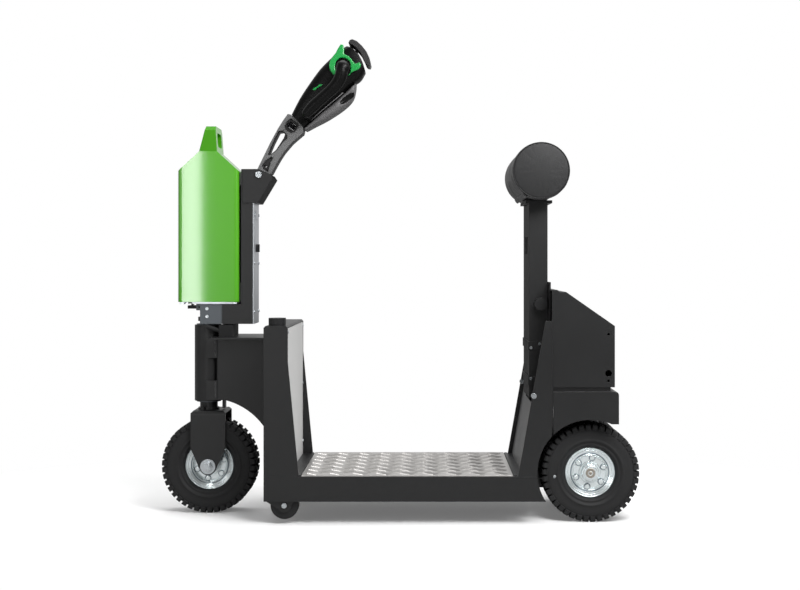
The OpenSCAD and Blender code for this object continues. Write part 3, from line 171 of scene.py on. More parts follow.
class Shape:
    """Gathers the parts of one mesh."""

    def __init__(self):
        self.verts = []
        self.faces = []

    def add(self, verts, faces):
        n = len(self.verts)
        self.verts += [Vector(v) for v in verts]
        self.faces += [[i + n for i in f] for f in faces]

    def revolve(self, profile, n, place=lambda p: p, closed=False):
        """Turns a profile of (radius, along) points about Y."""
        verts = [(r * c, y, r * s) for c, s in circle(1, n) for r, y in profile]
        m = len(profile)
        last = m if closed else m - 1
        faces = [[k * m + i, k * m + (i + 1) % m, ((k + 1) % n) * m + (i + 1) % m, ((k + 1) % n) * m + i]
                 for k in range(n) for i in range(last)]
        self.add([place(Vector(v)) for v in verts], faces)

    def prism(self, outline, y1, y2, place=lambda p: p, taper=1.0):
        """Gives (x, z) points a width along Y; the far end shrinks by taper about the outline's middle."""
        n = len(outline)
        cx = sum(p[0] for p in outline) / n
        cz = sum(p[1] for p in outline) / n
        verts = [(x, y1, z) for x, z in outline]
        verts += [(cx + (x - cx) * taper, y2, cz + (z - cz) * taper) for x, z in outline]
        self.add([place(Vector(v)) for v in verts], slab_faces(n))

    def tube(self, points, radius, sides=12, caps=True):
        """A round tube along a list of points."""
        points = [Vector(p) for p in points]
        verts = []
        normal = None
        for i, p in enumerate(points):
            t = (points[min(i + 1, len(points) - 1)] - points[max(i - 1, 0)]).normalized()
            if normal is None:
                normal = t.orthogonal().normalized()
            normal = (normal - t * normal.dot(t)).normalized()
            verts += ring(p, radius, normal, t.cross(normal), sides)
        self.add(verts, (closed_grid if caps else grid_faces)(len(points), sides))

    def flat(self, outlines, y1, y2, bevel, place):
        """A plate cut to outlines in mm, the first round it and the others its openings, with rounded edges."""
        curve = bpy.data.curves.new("flat", "CURVE")
        curve.dimensions = "2D"
        curve.fill_mode = "BOTH"
        curve.extrude = (y2 - y1) / 2 - bevel
        curve.bevel_depth = bevel
        curve.bevel_resolution = 2
        curve.offset = -bevel
        for outline in outlines:
            line = curve.splines.new("POLY")
            line.points.add(len(outline) - 1)
            for point, (a, b) in zip(line.points, outline):
                point.co = (a, b, 0, 1)
            line.use_cyclic_u = True
        holder = bpy.data.objects.new("flat", curve)
        mesh = bpy.data.meshes.new_from_object(holder)
        middle = (y1 + y2) / 2
        verts = [place(v.co.x, middle + v.co.z, v.co.y) for v in mesh.vertices]
        self.add(verts, [list(f.vertices) for f in mesh.polygons])
        bpy.data.objects.remove(holder)
        bpy.data.curves.remove(curve)
        bpy.data.meshes.remove(mesh)

    def piece(self, name, material, body, slot=None, smooth=False):
        return piece(name, self.verts, self.faces, material, body, smooth)


# Materials


def node(tree, kind, inputs=None, **settings):
    """A new shader node with its settings and its inputs' values."""
    made = tree.nodes.new("ShaderNode" + kind)
    for name, value in settings.items():
        setattr(made, name, value)
    for name, value in (inputs or {}).items():
        made.inputs[name].default_value = value
    return made


def wire(tree, source, output, target, socket):
    tree.links.new(source.outputs[output], target.inputs[socket])


def material(name, base, rough, metallic=0.0, grain=900.0, bump=0.05, depth=0.0002, vary=0.06, rough_vary=0.06,
             edge=0.0008, coat=0.0, coat_rough=0.05, spec=0.5, stretch=(1, 1, 1), clouds=6.0):
    """Grain for the surface's fine relief, clouds for its wear and unevenness, and rounded edges."""
    m = bpy.data.materials.new(name)
    m.use_nodes = True
    tree = m.node_tree
    shader = tree.nodes["Principled BSDF"]
    uniform = {"Base Color": (*base, 1), "Roughness": rough, "Metallic": metallic, "Specular IOR Level": spec,
               "Coat Weight": coat, "Coat Roughness": coat_rough}
    for socket, value in uniform.items():
        shader.inputs[socket].default_value = value
    place = node(tree, "TexCoord")
    mapping = node(tree, "Mapping", {"Scale": stretch})
    fine = node(tree, "TexNoise", {"Scale": grain, "Detail": 2})
    cloud = node(tree, "TexNoise", {"Scale": clouds, "Detail": 5})
    dark = (*[c * (1 - vary) for c in base], 1)
    pale = (*[min(1, c * (1 + vary)) for c in base], 1)
    tint = node(tree, "Mix", {"A": dark, "B": pale}, data_type="RGBA")
    smooth, dull = max(0, rough - rough_vary), min(1, rough + rough_vary)
    spread = node(tree, "MapRange", {"To Min": smooth, "To Max": dull})
    relief = node(tree, "Bump", {"Strength": bump, "Distance": depth})
    wire(tree, place, "Object", mapping, "Vector")
    wire(tree, mapping, "Vector", fine, "Vector")
    wire(tree, place, "Object", cloud, "Vector")
    wire(tree, cloud, "Fac", tint, "Factor")
    wire(tree, tint, "Result", shader, "Base Color")
    wire(tree, cloud, "Fac", spread, "Value")
    wire(tree, spread, "Result", shader, "Roughness")
    wire(tree, fine, "Fac", relief, "Height")
    if edge:
        bevel = node(tree, "Bevel", {"Radius": edge}, samples=4)
        wire(tree, bevel, "Normal", relief, "Normal")
    wire(tree, relief, "Normal", shader, "Normal")
    return m


FINISHES = {
    "black_paint": dict(base=(0.0088, 0.0089, 0.0092), rough=0.38, grain=1600, bump=0.25, edge=0.0012,
                        spec=0.40),
    "tread_metal": dict(base=(0.53, 0.515, 0.50), rough=0.34, metallic=0.9, grain=700, bump=0.2, vary=0.06),
    "light_paint": dict(base=(0.49, 0.49, 0.485), rough=0.45, grain=1600, bump=0.2),
    # the rear panel: the light grey panel paint darkened, painted shade for a panel that faces away from the
    # lamps
    "mid_paint": dict(base=(0.055, 0.055, 0.056), rough=0.45, grain=1600, bump=0.2),
    "zinc": dict(base=(0.52, 0.55, 0.57), rough=0.28, metallic=1.0, grain=700, bump=0.1, vary=0.1),
    "rim_zinc": dict(base=(0.74, 0.80, 0.81), rough=0.24, metallic=0.85, grain=300, bump=0.08, vary=0.12),
    # rim groove, bead gap and bolt rings: dark metal as painted shade in those recesses
    "rim_painted_shade": dict(base=(0.055, 0.085, 0.11), rough=0.30, metallic=0.9, grain=300, bump=0.08, vary=0.2),
    # a darker, duller copy of the black paint: painted shade for faces turned from the light
    "painted_shade_black": dict(base=(0.007, 0.007, 0.0072), rough=0.6, grain=1600, bump=0.25, edge=0.0012, spec=0.1),
    "tyre": dict(base=(0.0165, 0.0165, 0.017), rough=0.62, grain=1100, bump=0.35, edge=0.0006, vary=0.2,
                 rough_vary=0.1, spec=0.22),
    "black_plastic": dict(base=(0.014, 0.014, 0.0145), rough=0.40, grain=2200, bump=0.3, spec=0.25),
    "rubber": dict(base=(0.012, 0.012, 0.0125), rough=0.6, grain=1500, bump=0.3, spec=0.22),
    "steel_grey": dict(base=(0.075, 0.085, 0.095), rough=0.35, metallic=0.3, grain=900, bump=0.15),
    "battery_green": dict(base=(0.072, 0.325, 0.011), rough=0.30, grain=1400, bump=0.06, vary=0.03, coat=0.9,
                          coat_rough=0.06, edge=0.003, spec=0.3),
    # the battery handle's sideways faces: a darker, uncoated copy of the green, painted shade
    "battery_green_painted_shade": dict(base=(0.048, 0.245, 0.006), rough=0.42, grain=1400, bump=0.06, vary=0.03,
                               edge=0.003, spec=0.15),
    # weld beads: the black paint made about three times lighter, a painted sheen for light on their rough
    # ripples
    "weld_painted_sheen": dict(base=(0.030, 0.030, 0.031), rough=0.34, grain=2400, bump=0.7, depth=0.0005, edge=0,
                       spec=0.5),
    "brass": dict(base=(0.40, 0.36, 0.31), rough=0.35, metallic=1.0, grain=900, bump=0.1, vary=0.15),
    "silver": dict(base=(0.42, 0.44, 0.46), rough=0.35, metallic=0.8, grain=900, bump=0.1, stretch=(1, 1, 0.1)),
    "cast_grey": dict(base=(0.115, 0.115, 0.116), rough=0.45, spec=0.4, grain=1200, bump=0.5, edge=0.0015),
    "spring_steel": dict(base=(0.09, 0.09, 0.10), rough=0.3, metallic=0.8),
    "head_plastic": dict(base=(0.0022, 0.0022, 0.0022), rough=0.34, grain=2600, bump=0.3, spec=0.14),
    "guard_dark": dict(base=(0.012, 0.0115, 0.012), rough=0.42, grain=2600, bump=0.4, spec=0.35),
    "guard_grey": dict(base=(0.098, 0.096, 0.098), rough=0.48, grain=2600, bump=0.4, spec=0.3),
    "throttle_green": dict(base=(0.003, 0.25, 0.042), rough=0.3, grain=1500, bump=0.05, coat=0.3,
                           coat_rough=0.15),
    # the barrel's vinyl: the end vinyl made lighter, painted light for the side that catches the lamps
    "bolster_vinyl_painted_light": dict(base=(0.046, 0.046, 0.047), rough=0.50, spec=0.3, grain=1300, bump=0.6,
                           depth=0.0004, edge=0),
    "bolster_vinyl": dict(base=(0.0125, 0.0125, 0.013), rough=0.52, spec=0.28, grain=1300, bump=0.6,
                          depth=0.0004, edge=0),
}
MAT = {name: material(name, **finish) for name, finish in FINISHES.items()}
CAD_SHARP = 28
FACING = 0.6
HANDLE_Z = 1.021
HANDLE_FACING = 0.5


def paint_nodes():
    """Gives each CAD piece its slot's material, and a darker second one, painted shade, to some of their faces.
    """
    slot_of = {s["node"]: s["material_slot"] for s in frame["record"]["subparts"]}
    for name, obj in frame["nodes"].items():
        obj.data.materials.clear()
        obj.data.materials.append(MAT[slot_of[name]])
        for p in obj.data.polygons:
            p.use_smooth = True
        sharpen(obj, CAD_SHARP)

    # The seat post's front and the tiller bracket's rear face get a darker, duller black: painted shade on the
    # sides turned from the light
    for name, sign in (("seat_post", -1), ("post_straps", -1), ("tiller_bracket", 1)):
        mesh = frame["nodes"][name].data
        mesh.materials.append(MAT["painted_shade_black"])
        for face in mesh.polygons:
            if sign * face.normal.x > FACING:
                face.material_index = 1

    # The battery handle's sideways faces get a darker, uncoated green: painted shade and a dimmed reflection on
    # faces turned from the light
    case = frame["nodes"]["battery_case"].data
    case.materials.append(MAT["battery_green_painted_shade"])
    for face in case.polygons:
        if face.center.z > HANDLE_Z and abs(face.normal.y) > HANDLE_FACING:
            face.material_index = 1


paint_nodes()

# Tyres, in mm

FRONT_X = -530.5
REAR_X = 530.5
REAR_Y = 123
TYRE_R = 133.5
TYRE_SIDES = 96
LUGS = 42
LUG_ROOT_R = 117
SKEW_W = 14
SHOULDER_SHARES = (0.37, 0.325)
CENTRE_SHARES = (0.72, 0.62)
SKEW_SHARE = 0.35


def tyre(name, node_name, body, x, y, phase):
    """A pneumatic tyre: carcass with sidewall rings, and block lugs that wrap over both shoulders."""
    s = Shape()
    at = Vector((x, y, TYRE_R)) * MM

    def place(p):
        return at + p * MM

    half = [(53, 20.5), (67.5, 27), (69.5, 31), (73, 38), (75.5, 40.6), (78, 40.8), (80.5, 39.6), (83, 40.8),
            (86.5, 44.4), (89, 45.3), (91.5, 44.4), (94, 43.4), (104, 45.2), (114, 44.6), (120, 43.0),
            (124.5, 39.5), (127.2, 33), (128.2, 20), (128.4, 7)]
    profile = half + [(128.4, 0)] + [(r, -w) for r, w in reversed(half)]
    s.revolve(profile, TYRE_SIDES, place, closed=True)
    pitch = 2 * math.pi / LUGS
    shoulder = [(LUG_ROOT_R, 42), (118.5, 45.8), (128.5, 45.6), (132.3, 43.6), (TYRE_R, 38), (TYRE_R, 22),
                (127, 20)]
    centre = [(127, 14), (TYRE_R, 12.5), (TYRE_R, -12.5), (127, -14)]
    for k in range(LUGS):
        for sign in (1, -1):
            mid = (k + (0.5 if sign < 0 else 0)) * pitch + phase
            add_lug(s, shoulder, sign, mid, pitch, SHOULDER_SHARES, place)
        if k % 2 == 0:
            add_lug(s, centre, 1, k * pitch + pitch + phase, pitch, CENTRE_SHARES, place, SKEW_SHARE)
    obj = s.piece(name, MAT["tyre"], body, "tyre", smooth=False)
    for p in obj.data.polygons:
        p.use_smooth = p.index < TYRE_SIDES * len(profile)
    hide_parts(node_name)


def add_lug(s, section, sign, mid, pitch, shares, place, skew=0.0):
    """One block of tread: a section in radius and width, run round the tyre between two angles."""
    wide, narrow = [pitch * share for share in shares]
    verts = []
    for side in (-1, 1):
        for r, w in section:
            top = (r - LUG_ROOT_R) / (TYRE_R - LUG_ROOT_R)
            a = mid + side * (wide + (narrow - wide) * top) + skew * pitch * w / SKEW_W
            verts.append(place(Vector((r * math.cos(a), sign * w, r * math.sin(a)))))
    s.add(verts, slab_faces(len(section)))


tyre("front_tyre_tread", "front_tyre", "front_wheel", FRONT_X, 0, 0.02)
tyre("right_rear_tyre_tread", "right_rear_tyre", "right_rear_wheel", REAR_X, -REAR_Y, 0.05)
tyre("left_rear_tyre_tread", "left_rear_tyre", "left_rear_wheel", REAR_X, REAR_Y, 0.11)

# Wheel trims, in mm

RIM_SIDES = 96
HUB_SIDES = 64
COLLAR_SIDES = 48
SMALL_SIDES = 32
TINY_SIDES = 24
RIM_SHARP = 38
RIM_BOLTS = 6
RIM_BOLT_TURN = 20
BOLT_FROM = 0.8
BOLT_TO = 5.2
BOLT_CIRCLE_R = 40
BOLT_R = 5.6
BOLT_TAPER = 0.92
FACE_OUT = 6
VALVE_AT = (-98.3, -9)


def wire_section(r, along, small):
    """A round wire's section at a radius and a place along the axle."""
    return circle(small, 10, (r, along))


def wheel_trim(tag, body, x, y, side, web, hub):
    """The rolled lip, pressed rings, washers and bolt heads on one face of a rim."""
    at = Vector((x, y, TYRE_R))

    def place(p):
        return (at + Vector((p.x, side * p.y, p.z))) * MM

    face = web + FACE_OUT
    turns = [RIM_BOLT_TURN + 360 / RIM_BOLTS * k for k in range(RIM_BOLTS)]
    bolts = [Vector((a, 0, b)) for a, b in [polar(BOLT_CIRCLE_R, turn) for turn in turns]]

    s = Shape()
    for section in ((66.4, 29.6, 2.1), (60.5, 28.2, 1.0), (49.2, 24.3, 1.5)):
        s.revolve(wire_section(*section), RIM_SIDES, place, closed=True)
    for pressed in ([(46.5, -0.5), (45.2, 1.6), (43.6, 1.6), (42.6, -0.5)],
                    [(30.5, -0.5), (28.5, 2.4), (24.5, 2.4), (23.0, -0.5)]):
        s.revolve([(r, face + out) for r, out in pressed], RIM_SIDES, place, closed=True)
    washer = [(r, face + out) for r, out in ((0.4, 0.9), (7.0, 0.9), (7.6, 0.2), (7.6, -0.5))]
    for bolt in bolts:
        s.revolve(washer, TINY_SIDES, lambda p, bolt=bolt: place(p + bolt))
        s.prism(circle(BOLT_R, 6, (bolt.x, bolt.z)), face + BOLT_FROM, face + BOLT_TO, place, BOLT_TAPER)
    if hub:
        sleeve = [(24, face - 0.5), (24, 36), (22.6, 38.2), (19.2, 38.2), (19.2, 30)]
        seal = [(19.4, 38), (19.4, 38.8), (18.2, 39.4), (13.5, 39.4), (13.5, 38)]
        s.revolve(sleeve, HUB_SIDES, place, closed=True)
        s.revolve(seal, HUB_SIDES, place, closed=True)
    obj = s.piece("rim_trim_" + tag, MAT["rim_zinc"], body, "rim_zinc", smooth=True)
    sharpen(obj, RIM_SHARP)

    # Dark rings in the bead gap, the pressed groove and round each washer: painted shade in the recesses
    bead_gap = [(68.9, 28.2), (68.9, 30.2), (70.6, 30.2), (70.6, 28.2)]
    groove = wire_section(52.2, 25.4, 1.1)
    bolt_ring = wire_section(8.3, face + 0.3, 0.7)
    s = Shape()
    s.revolve(bead_gap, RIM_SIDES, place, closed=True)
    s.revolve(groove, RIM_SIDES, place, closed=True)
    for bolt in bolts:
        s.revolve(bolt_ring, SMALL_SIDES, lambda p, bolt=bolt: place(p + bolt), closed=True)
    s.piece("rim_lines_" + tag, MAT["rim_painted_shade"], body, "rim_zinc", smooth=True)

    if hub:
        end = abs(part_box(tag + "_rim")[0 if side < 0 else 1].y / MM - y)
        collar = [(13.2, -0.6), (13.2, 0.8), (12.0, 1.4), (7.4, 1.4), (6.6, 0.6), (6.6, -0.6)]
        middle = [(0.3, 0.4), (4.4, 0.4), (5.0, -0.4)]
        s = Shape()
        s.revolve([(r, end + out) for r, out in collar], COLLAR_SIDES, place, closed=True)
        s.revolve([(r, end + out) for r, out in middle], SMALL_SIDES, place)
        s.piece("hub_ring_" + tag, MAT["brass"], body, "rim_zinc", smooth=True)


wheel_trim("front_near", "front_wheel", FRONT_X, 0, -1, 6, False)
wheel_trim("right_rear", "right_rear_wheel", REAR_X, -REAR_Y, -1, 17, True)
wheel_trim("left_rear", "left_rear_wheel", REAR_X, REAR_Y, 1, 17, True)


def valve(tag, side):
    """A pale valve mark moulded in a rear tyre's sidewall."""
    s = Shape()
    at = Vector((REAR_X + VALVE_AT[0], side * REAR_Y, TYRE_R + VALVE_AT[1]))
    profile = [(0.2, 45.4), (3.0, 45.4), (4.2, 44.6), (4.4, 42)]
    s.revolve(profile, TINY_SIDES, lambda p: (at + Vector((p.x, side * p.y, p.z))) * MM)
    s.piece("valve_" + tag, MAT["zinc"], tag + "_rear_wheel", "zinc", smooth=True)


for side, tag in SIDES:
    valve(tag, side)

# Dark strips of painted shade in narrow gaps between parts, each with its near and far Y and its corners in X
# and Z

EASED_SHARE = 0.25
GAP_SHADE_LINES = {
    "seal_": ((0.2036, 0.2094), (0.4214, 0.262), (0.4246, 0.630)),
    "neck_seam_": ((0.0449, 0.0455), (-0.5072, 0.322), (-0.5052, 0.492)),
    "foot_seam_": ((0.2099, 0.2103), (0.3210, 0.1262), (0.4020, 0.1274)),
}


def strip(name, low, high, y1, y2):
    """A thin dark strip with eased edges: painted shade filling one narrow gap between parts."""
    (x1, z1), (x2, z2) = low, high
    r = min(x2 - x1, z2 - z1) * EASED_SHARE
    s = Shape()
    s.prism([(x1 + r, z1), (x2 - r, z1), (x2, z1 + r), (x2, z2 - r),
             (x2 - r, z2), (x1 + r, z2), (x1, z2 - r), (x1, z1 + r)], y1, y2)
    s.piece(name, MAT["rubber"], "frame", "rubber")


for side, tag in SIDES:
    for name, (ys, low, high) in GAP_SHADE_LINES.items():
        strip(name + tag, low, high, *sorted(side * y for y in ys))

# Tread plate's raised bars

DIAMONDS = (9, 7)
BARS_EACH_SIDE = 2
BAR_PITCH = 0.0078
BAR_HALF = 0.0155
BAR_HALF_W = 0.0026
BAR_RISE = 0.0019
BAR_SINK = 0.0002
BAR_MARGIN = 0.002
SHOULDER_SHARE = 0.62
CREST_SHARE = 0.25


def tread_bars():
    """A five-bar tread pattern: diamonds of five raised bars, every other diamond turned a quarter turn."""
    lo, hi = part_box("tread_plate")
    s = Shape()
    nx, ny = DIAMONDS
    dx, dy = (hi.x - lo.x) / nx, (hi.y - lo.y) / ny
    c = math.sqrt(0.5)
    low = Vector((0, 0, hi.z - BAR_SINK))
    top = Vector((0, 0, hi.z + BAR_RISE))

    def inside(p):
        return (lo.x + BAR_MARGIN < p.x < hi.x - BAR_MARGIN) and (lo.y + BAR_MARGIN < p.y < hi.y - BAR_MARGIN)

    for i in range(2 * nx + 1):
        for j in range(2 * ny + 1):
            if (i + j) % 2:
                continue
            along = Vector((c, c if i % 2 else -c, 0))
            side = Vector((-along.y, along.x, 0))
            for k in range(-BARS_EACH_SIDE, BARS_EACH_SIDE + 1):
                at = Vector((lo.x + i * dx / 2, lo.y + j * dy / 2, 0)) + side * (k * BAR_PITCH)
                ends = [at + along * BAR_HALF * f for f in (-1, -SHOULDER_SHARE, SHOULDER_SHARE, 1)]
                if not all(inside(e) for e in ends):
                    continue
                w = side * BAR_HALF_W
                verts = [ends[0], ends[1] - w, ends[2] - w, ends[3], ends[2] + w, ends[1] + w]
                crest = [ends[1] - w * CREST_SHARE, ends[2] - w * CREST_SHARE,
                         ends[2] + w * CREST_SHARE, ends[1] + w * CREST_SHARE]
                s.add([v + low for v in verts] + [v + top for v in crest],
                      [[6, 7, 8, 9], [0, 1, 6], [0, 6, 9], [1, 2, 7, 6], [2, 3, 7], [3, 8, 7],
                       [3, 4, 8], [4, 5, 9, 8], [5, 0, 9]])
    s.piece("tread_bars", MAT["tread_metal"], "frame", "tread_metal", smooth=False)


tread_bars()

# Seat bolster

BOLSTER = Vector((0.3965, 0, 0.957))
BOLSTER_R = 0.080
BOLSTER_END = 0.180
SEAM_R = 0.0757
SEAM_Y = 0.1690
SEAT_TOP = 0.8803
COVER_SIDES = 128
END_RINGS = 15
BARREL_RINGS = 68
END_DOME = 0.0035
BARREL_SLACK = 0.0025
SWELL_FRAMES = 18
SWELL_MOST = 0.006
SWELL_END_SHARE = 0.15
PIPING_R = 0.0015
PIPING_OUT_SHARE = 1.008
PIPING_STEPS = 160
PIPING_LIFT = 0.0014
SEAT_GRIP = 0.0005
FLAP_STEPS = 60
FLAP_MARGIN = 0.003
FLAP_WAVES = ((0.0007, 41, 0), (0.0005, 97, 1))
FLAP_TWIST = 0.5
FLAP_TWIST_WAVES = 29
FOLD_DEPTH = 0.0011
FOLD_REACH = 0.045
FOLD_TURNS = ((238, 26, 1.0), (302, 18, 0.5))
FOLD_WAVES = 620
FOLD_DRIFT = 2.2
FOLD_DRIFT_TURN = 0.09
PUCKER_DEPTH = 0.0004
PUCKER_REACH = 0.007
PUCKERS = 46
STITCH_MARGIN = 0.002
HAIR = 0.0004


def cover_mesh():
    """A barrel and two end discs, with the rings that are sewn into the seams."""
    around = COVER_SIDES
    shares = [k / END_RINGS for k in range(1, END_RINGS)]
    end = [(SEAM_R * f, SEAM_Y + END_DOME * (1 - f ** 2)) for f in shares]
    barrel = [(BOLSTER_R - BARREL_SLACK, SEAM_Y * (1 - 2 * k / BARREL_RINGS)) for k in range(1, BARREL_RINGS)]
    rings = end + [(SEAM_R, SEAM_Y)] + barrel + [(SEAM_R, -SEAM_Y)] + [(r, -y) for r, y in reversed(end)]
    verts = [(r * c, y, r * s) for r, y in rings for c, s in circle(1, around)]
    faces = grid_faces(len(rings), around)
    first, last = len(verts), len(verts) + 1
    verts += [(0, SEAM_Y + END_DOME, 0), (0, -SEAM_Y - END_DOME, 0)]
    base = (len(rings) - 1) * around
    faces += [[first, (k + 1) % around, k] for k in range(around)]
    faces += [[last, base + k, base + (k + 1) % around] for k in range(around)]
    sewn = [ring_no * around + k for ring_no in (len(end), len(end) + 1 + len(barrel)) for k in range(around)]
    return [Vector(v) + BOLSTER for v in verts], faces, sewn


def swell(obj):
    """Cloth pressure swells the cover between its held seams."""
    cloth = obj.modifiers.new("cloth", "CLOTH")
    c = cloth.settings
    c.effector_weights.gravity = 0
    c.use_pressure = True
    c.uniform_pressure_force = 5
    c.tension_stiffness = c.compression_stiffness = 40
    c.bending_stiffness = 0.5
    c.vertex_group_mass = "held"
    c.shrink_min = -0.012
    for frame_no in range(1, SWELL_FRAMES + 1):
        scene.frame_set(frame_no)
    deps = bpy.context.evaluated_depsgraph_get()
    moved = [v.co.copy() for v in obj.evaluated_get(deps).data.vertices]
    obj.modifiers.remove(cloth)
    scene.frame_set(1)
    for v, co in zip(obj.data.vertices, moved):
        step = co - v.co
        if step.length > SWELL_MOST:
            step *= SWELL_MOST / step.length
        if abs(v.co.y - BOLSTER.y) > SEAM_Y - 0.0001:
            step *= SWELL_END_SHARE
        v.co += step


def hump(x, at, width):
    """A smooth bell, 1 at its place."""
    return math.exp(-((x - at) / width) ** 2)


def crease(obj):
    """Folds near the seams on the barrel's lower side, puckers at the stitches, and a flat seat below."""
    for v in obj.data.vertices:
        p = v.co - BOLSTER
        r = math.hypot(p.x, p.z)
        turn = math.degrees(math.atan2(p.z, p.x)) % 360
        inward = SEAM_Y - abs(p.y)
        if inward > STITCH_MARGIN and r > SEAM_R / 2:
            low = sum(share * hump(turn, at, width) for at, width, share in FOLD_TURNS)
            wave = math.sin(abs(p.y) * FOLD_WAVES + FOLD_DRIFT * math.sin(turn * FOLD_DRIFT_TURN))
            fold = wave * FOLD_DEPTH * low * hump(inward, 0, FOLD_REACH)
            pucker = PUCKER_DEPTH * math.sin(math.radians(turn) * PUCKERS) * hump(inward, 0, PUCKER_REACH)
            r2 = min(BOLSTER_R + 1.5 * HAIR, r + fold + pucker)
            p.x, p.z = p.x * r2 / r, p.z * r2 / r
        p.y = max(-BOLSTER_END, min(BOLSTER_END, p.y))
        v.co = p + BOLSTER
        v.co.z = max(v.co.z, SEAT_TOP)


def bolster():
    """The round seat's padded cover."""
    verts, faces, sewn = cover_mesh()
    obj = piece("bolster_cover", verts, faces, MAT["bolster_vinyl"], "seat", smooth=True)
    held = obj.vertex_groups.new(name="held")
    held.add(sewn, 1.0, "REPLACE")
    held.add([i for i, v in enumerate(verts) if v.z < SEAT_TOP - SEAT_GRIP], 1.0, "REPLACE")
    swell(obj)
    crease(obj)
    # The barrel faces take the lighter copy of the vinyl: painted light on the cover's side
    obj.data.materials.append(MAT["bolster_vinyl_painted_light"])
    for face in obj.data.polygons:
        face.material_index = 1 if abs(face.center.y) < SEAM_Y - 0.001 else 0
    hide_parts("seat_bolster")
    sub = obj.modifiers.new("sub", "SUBSURF")
    sub.levels = sub.render_levels = 1


def piping(sign, tag):
    """The cord sewn into one end's seam."""
    s = Shape()
    points = []
    for k in range(PIPING_STEPS + 1):
        x, z = polar(SEAM_R * PIPING_OUT_SHARE, 360 * k / PIPING_STEPS)
        q = Vector((x, sign * (SEAM_Y + HAIR), z)) + BOLSTER
        q.z = max(q.z, SEAT_TOP + PIPING_LIFT)
        points.append(q)
    s.tube(points, PIPING_R, 10, caps=False)
    s.piece("bolster_piping_" + tag, MAT["bolster_vinyl"], "seat", "bolster_vinyl", smooth=True)


def flap():
    """The cover's closing seam: a folded flap along the lower front of the barrel."""
    section = [(0.0775, 231), (0.0800, 233), (0.0822, 236.5), (0.0840, 240.5), (0.0826, 241.5), (0.0806, 239),
               (0.0780, 238)]
    s = Shape()
    verts = []
    for i in range(FLAP_STEPS + 1):
        f = i / FLAP_STEPS
        y = (2 * f - 1) * (SEAM_Y - FLAP_MARGIN)
        wave = sum(high * math.sin(f * waves + start) for high, waves, start in FLAP_WAVES)
        twist = FLAP_TWIST * math.sin(f * FLAP_TWIST_WAVES)
        for r, turn in section:
            x, z = polar(r + wave, turn + twist)
            verts.append(BOLSTER + Vector((x, y, z)))
    s.add(verts, closed_grid(FLAP_STEPS + 1, len(section)))
    # The flap takes the barrel's lighter vinyl, painted light
    s.piece("bolster_flap", MAT["bolster_vinyl_painted_light"], "seat", "bolster_vinyl", smooth=True)


bolster()
for sign, tag in ((-1, "near"), (1, "far")):
    piping(sign, tag)
flap()

# Welds

WELD_X = -0.5115
WELD_Y = 0.0425
WELD_R = 0.0034
WELD_STEP = 0.0006
WELD_SIDES = 10
WELD_END_SHARE = 0.25
WELD_END_SLOPE = 6
RIPPLE_SHARE = 0.14
RIPPLE_STEPS = 4.5
WANDER_SHARE = 0.10
WANDER_TURN = 0.23
UNEVEN_SHARE = 0.05
UNEVEN_TURN = 0.37
WELD_RUNS = {"_low": (0.320, 0.374), "_high": (0.438, 0.492)}


def weld(name, a, b):
    """A weld bead from a to b: overlapping ripples along one run."""
    n = max(4, int((b - a).length / WELD_STEP))
    t = (b - a).normalized()
    u = t.orthogonal().normalized()
    w = t.cross(u)
    s = Shape()
    verts = []
    for i in range(n + 1):
        f = i / n
        taper = min(1, WELD_END_SLOPE * min(f, 1 - f) + WELD_END_SHARE)
        ripple = 1 - RIPPLE_SHARE + RIPPLE_SHARE * abs(math.sin(math.pi * i / RIPPLE_STEPS))
        ripple += UNEVEN_SHARE * math.sin(i * UNEVEN_TURN)
        centre = a.lerp(b, f) + u * WELD_R * WANDER_SHARE * math.sin(i * WANDER_TURN)
        verts += ring(centre, WELD_R * taper * ripple, u, w, WELD_SIDES)
    s.add(verts, closed_grid(n + 1, WELD_SIDES))
    # The beads take a lighter black: painted sheen on their ripples
    s.piece(name, MAT["weld_painted_sheen"], "frame", "black_paint", smooth=True)


for side, tag in SIDES:
    for run, (z1, z2) in WELD_RUNS.items():
        weld("weld_" + tag + run, Vector((WELD_X, side * WELD_Y, z1)), Vector((WELD_X, side * WELD_Y, z2)))

# Tiller head, in mm across, sideways and along

HEAD_AT = Vector((-0.284755, 0, 1.101447))
HEAD_LEAN = math.radians(41)
HEAD_POWER = 3.4
HEAD_SIDES = 48
HEAD_STEPS = 56
HEAD_SHARP = 50
CAP_SHARP = 32
CAP_BEVEL = 0.9
CAP_SIDES = 16
WING_SHARP = 40
BODY_HALF = 42
CAP_HALF = 37
CAP_CHEEK = 2.6
CAP_LAP = 1
STEM_AT = -8.7
STEM_Y = 18.5
STEM_ENDS = (248, 284.5)
STEM_R = 0.003
GUARD_HALF = 38
GUARD_POWER = 2.9
GUARD_SIDES = 96
GUARD_STEPS = 96
GUARD_FOOT = (0.80, 0.9)
GUARD_TIP = (0.72, 1.6)
HOLLOW_AT = (63, 147)
HOLLOW_LEAN = math.radians(12)
HOLLOW_HALF = (8.0, 26.0)
HOLLOW_SHARE = 0.16
HOLLOW_FROM_Y = 20
BEAD_R = 0.0016
GRIP_Y = 100.5
GRIP_FLAT_SHARE = 0.85
GRIP_SIDES = 40
GRIP_STEPS = 36
DOME_TURNS = (15, 30, 45, 58, 70, 80, 86)
NECKS = ((12, 203, 12.2), (15, 38, 9.5))
NECK_SIDES = 28
NECK_Y = (34, 96)
NECK_FLARE = 4
NECK_STEPS = 12
WING_Y = (42.6, 51.0)
WING_BEVEL = 2.4
TAB_INSET = 1
HUB_AT = (12, 204)
HORN_Y = (39.5, 43.2)
SURROUND_Y = (39.5, 42.7)
HORN_MIDDLE = (-20.3, 115.4)
HORN_HOLE_SHARES = (0.72, 0.84)
HORN_DROP_SHARES = (0.9, 0.965)


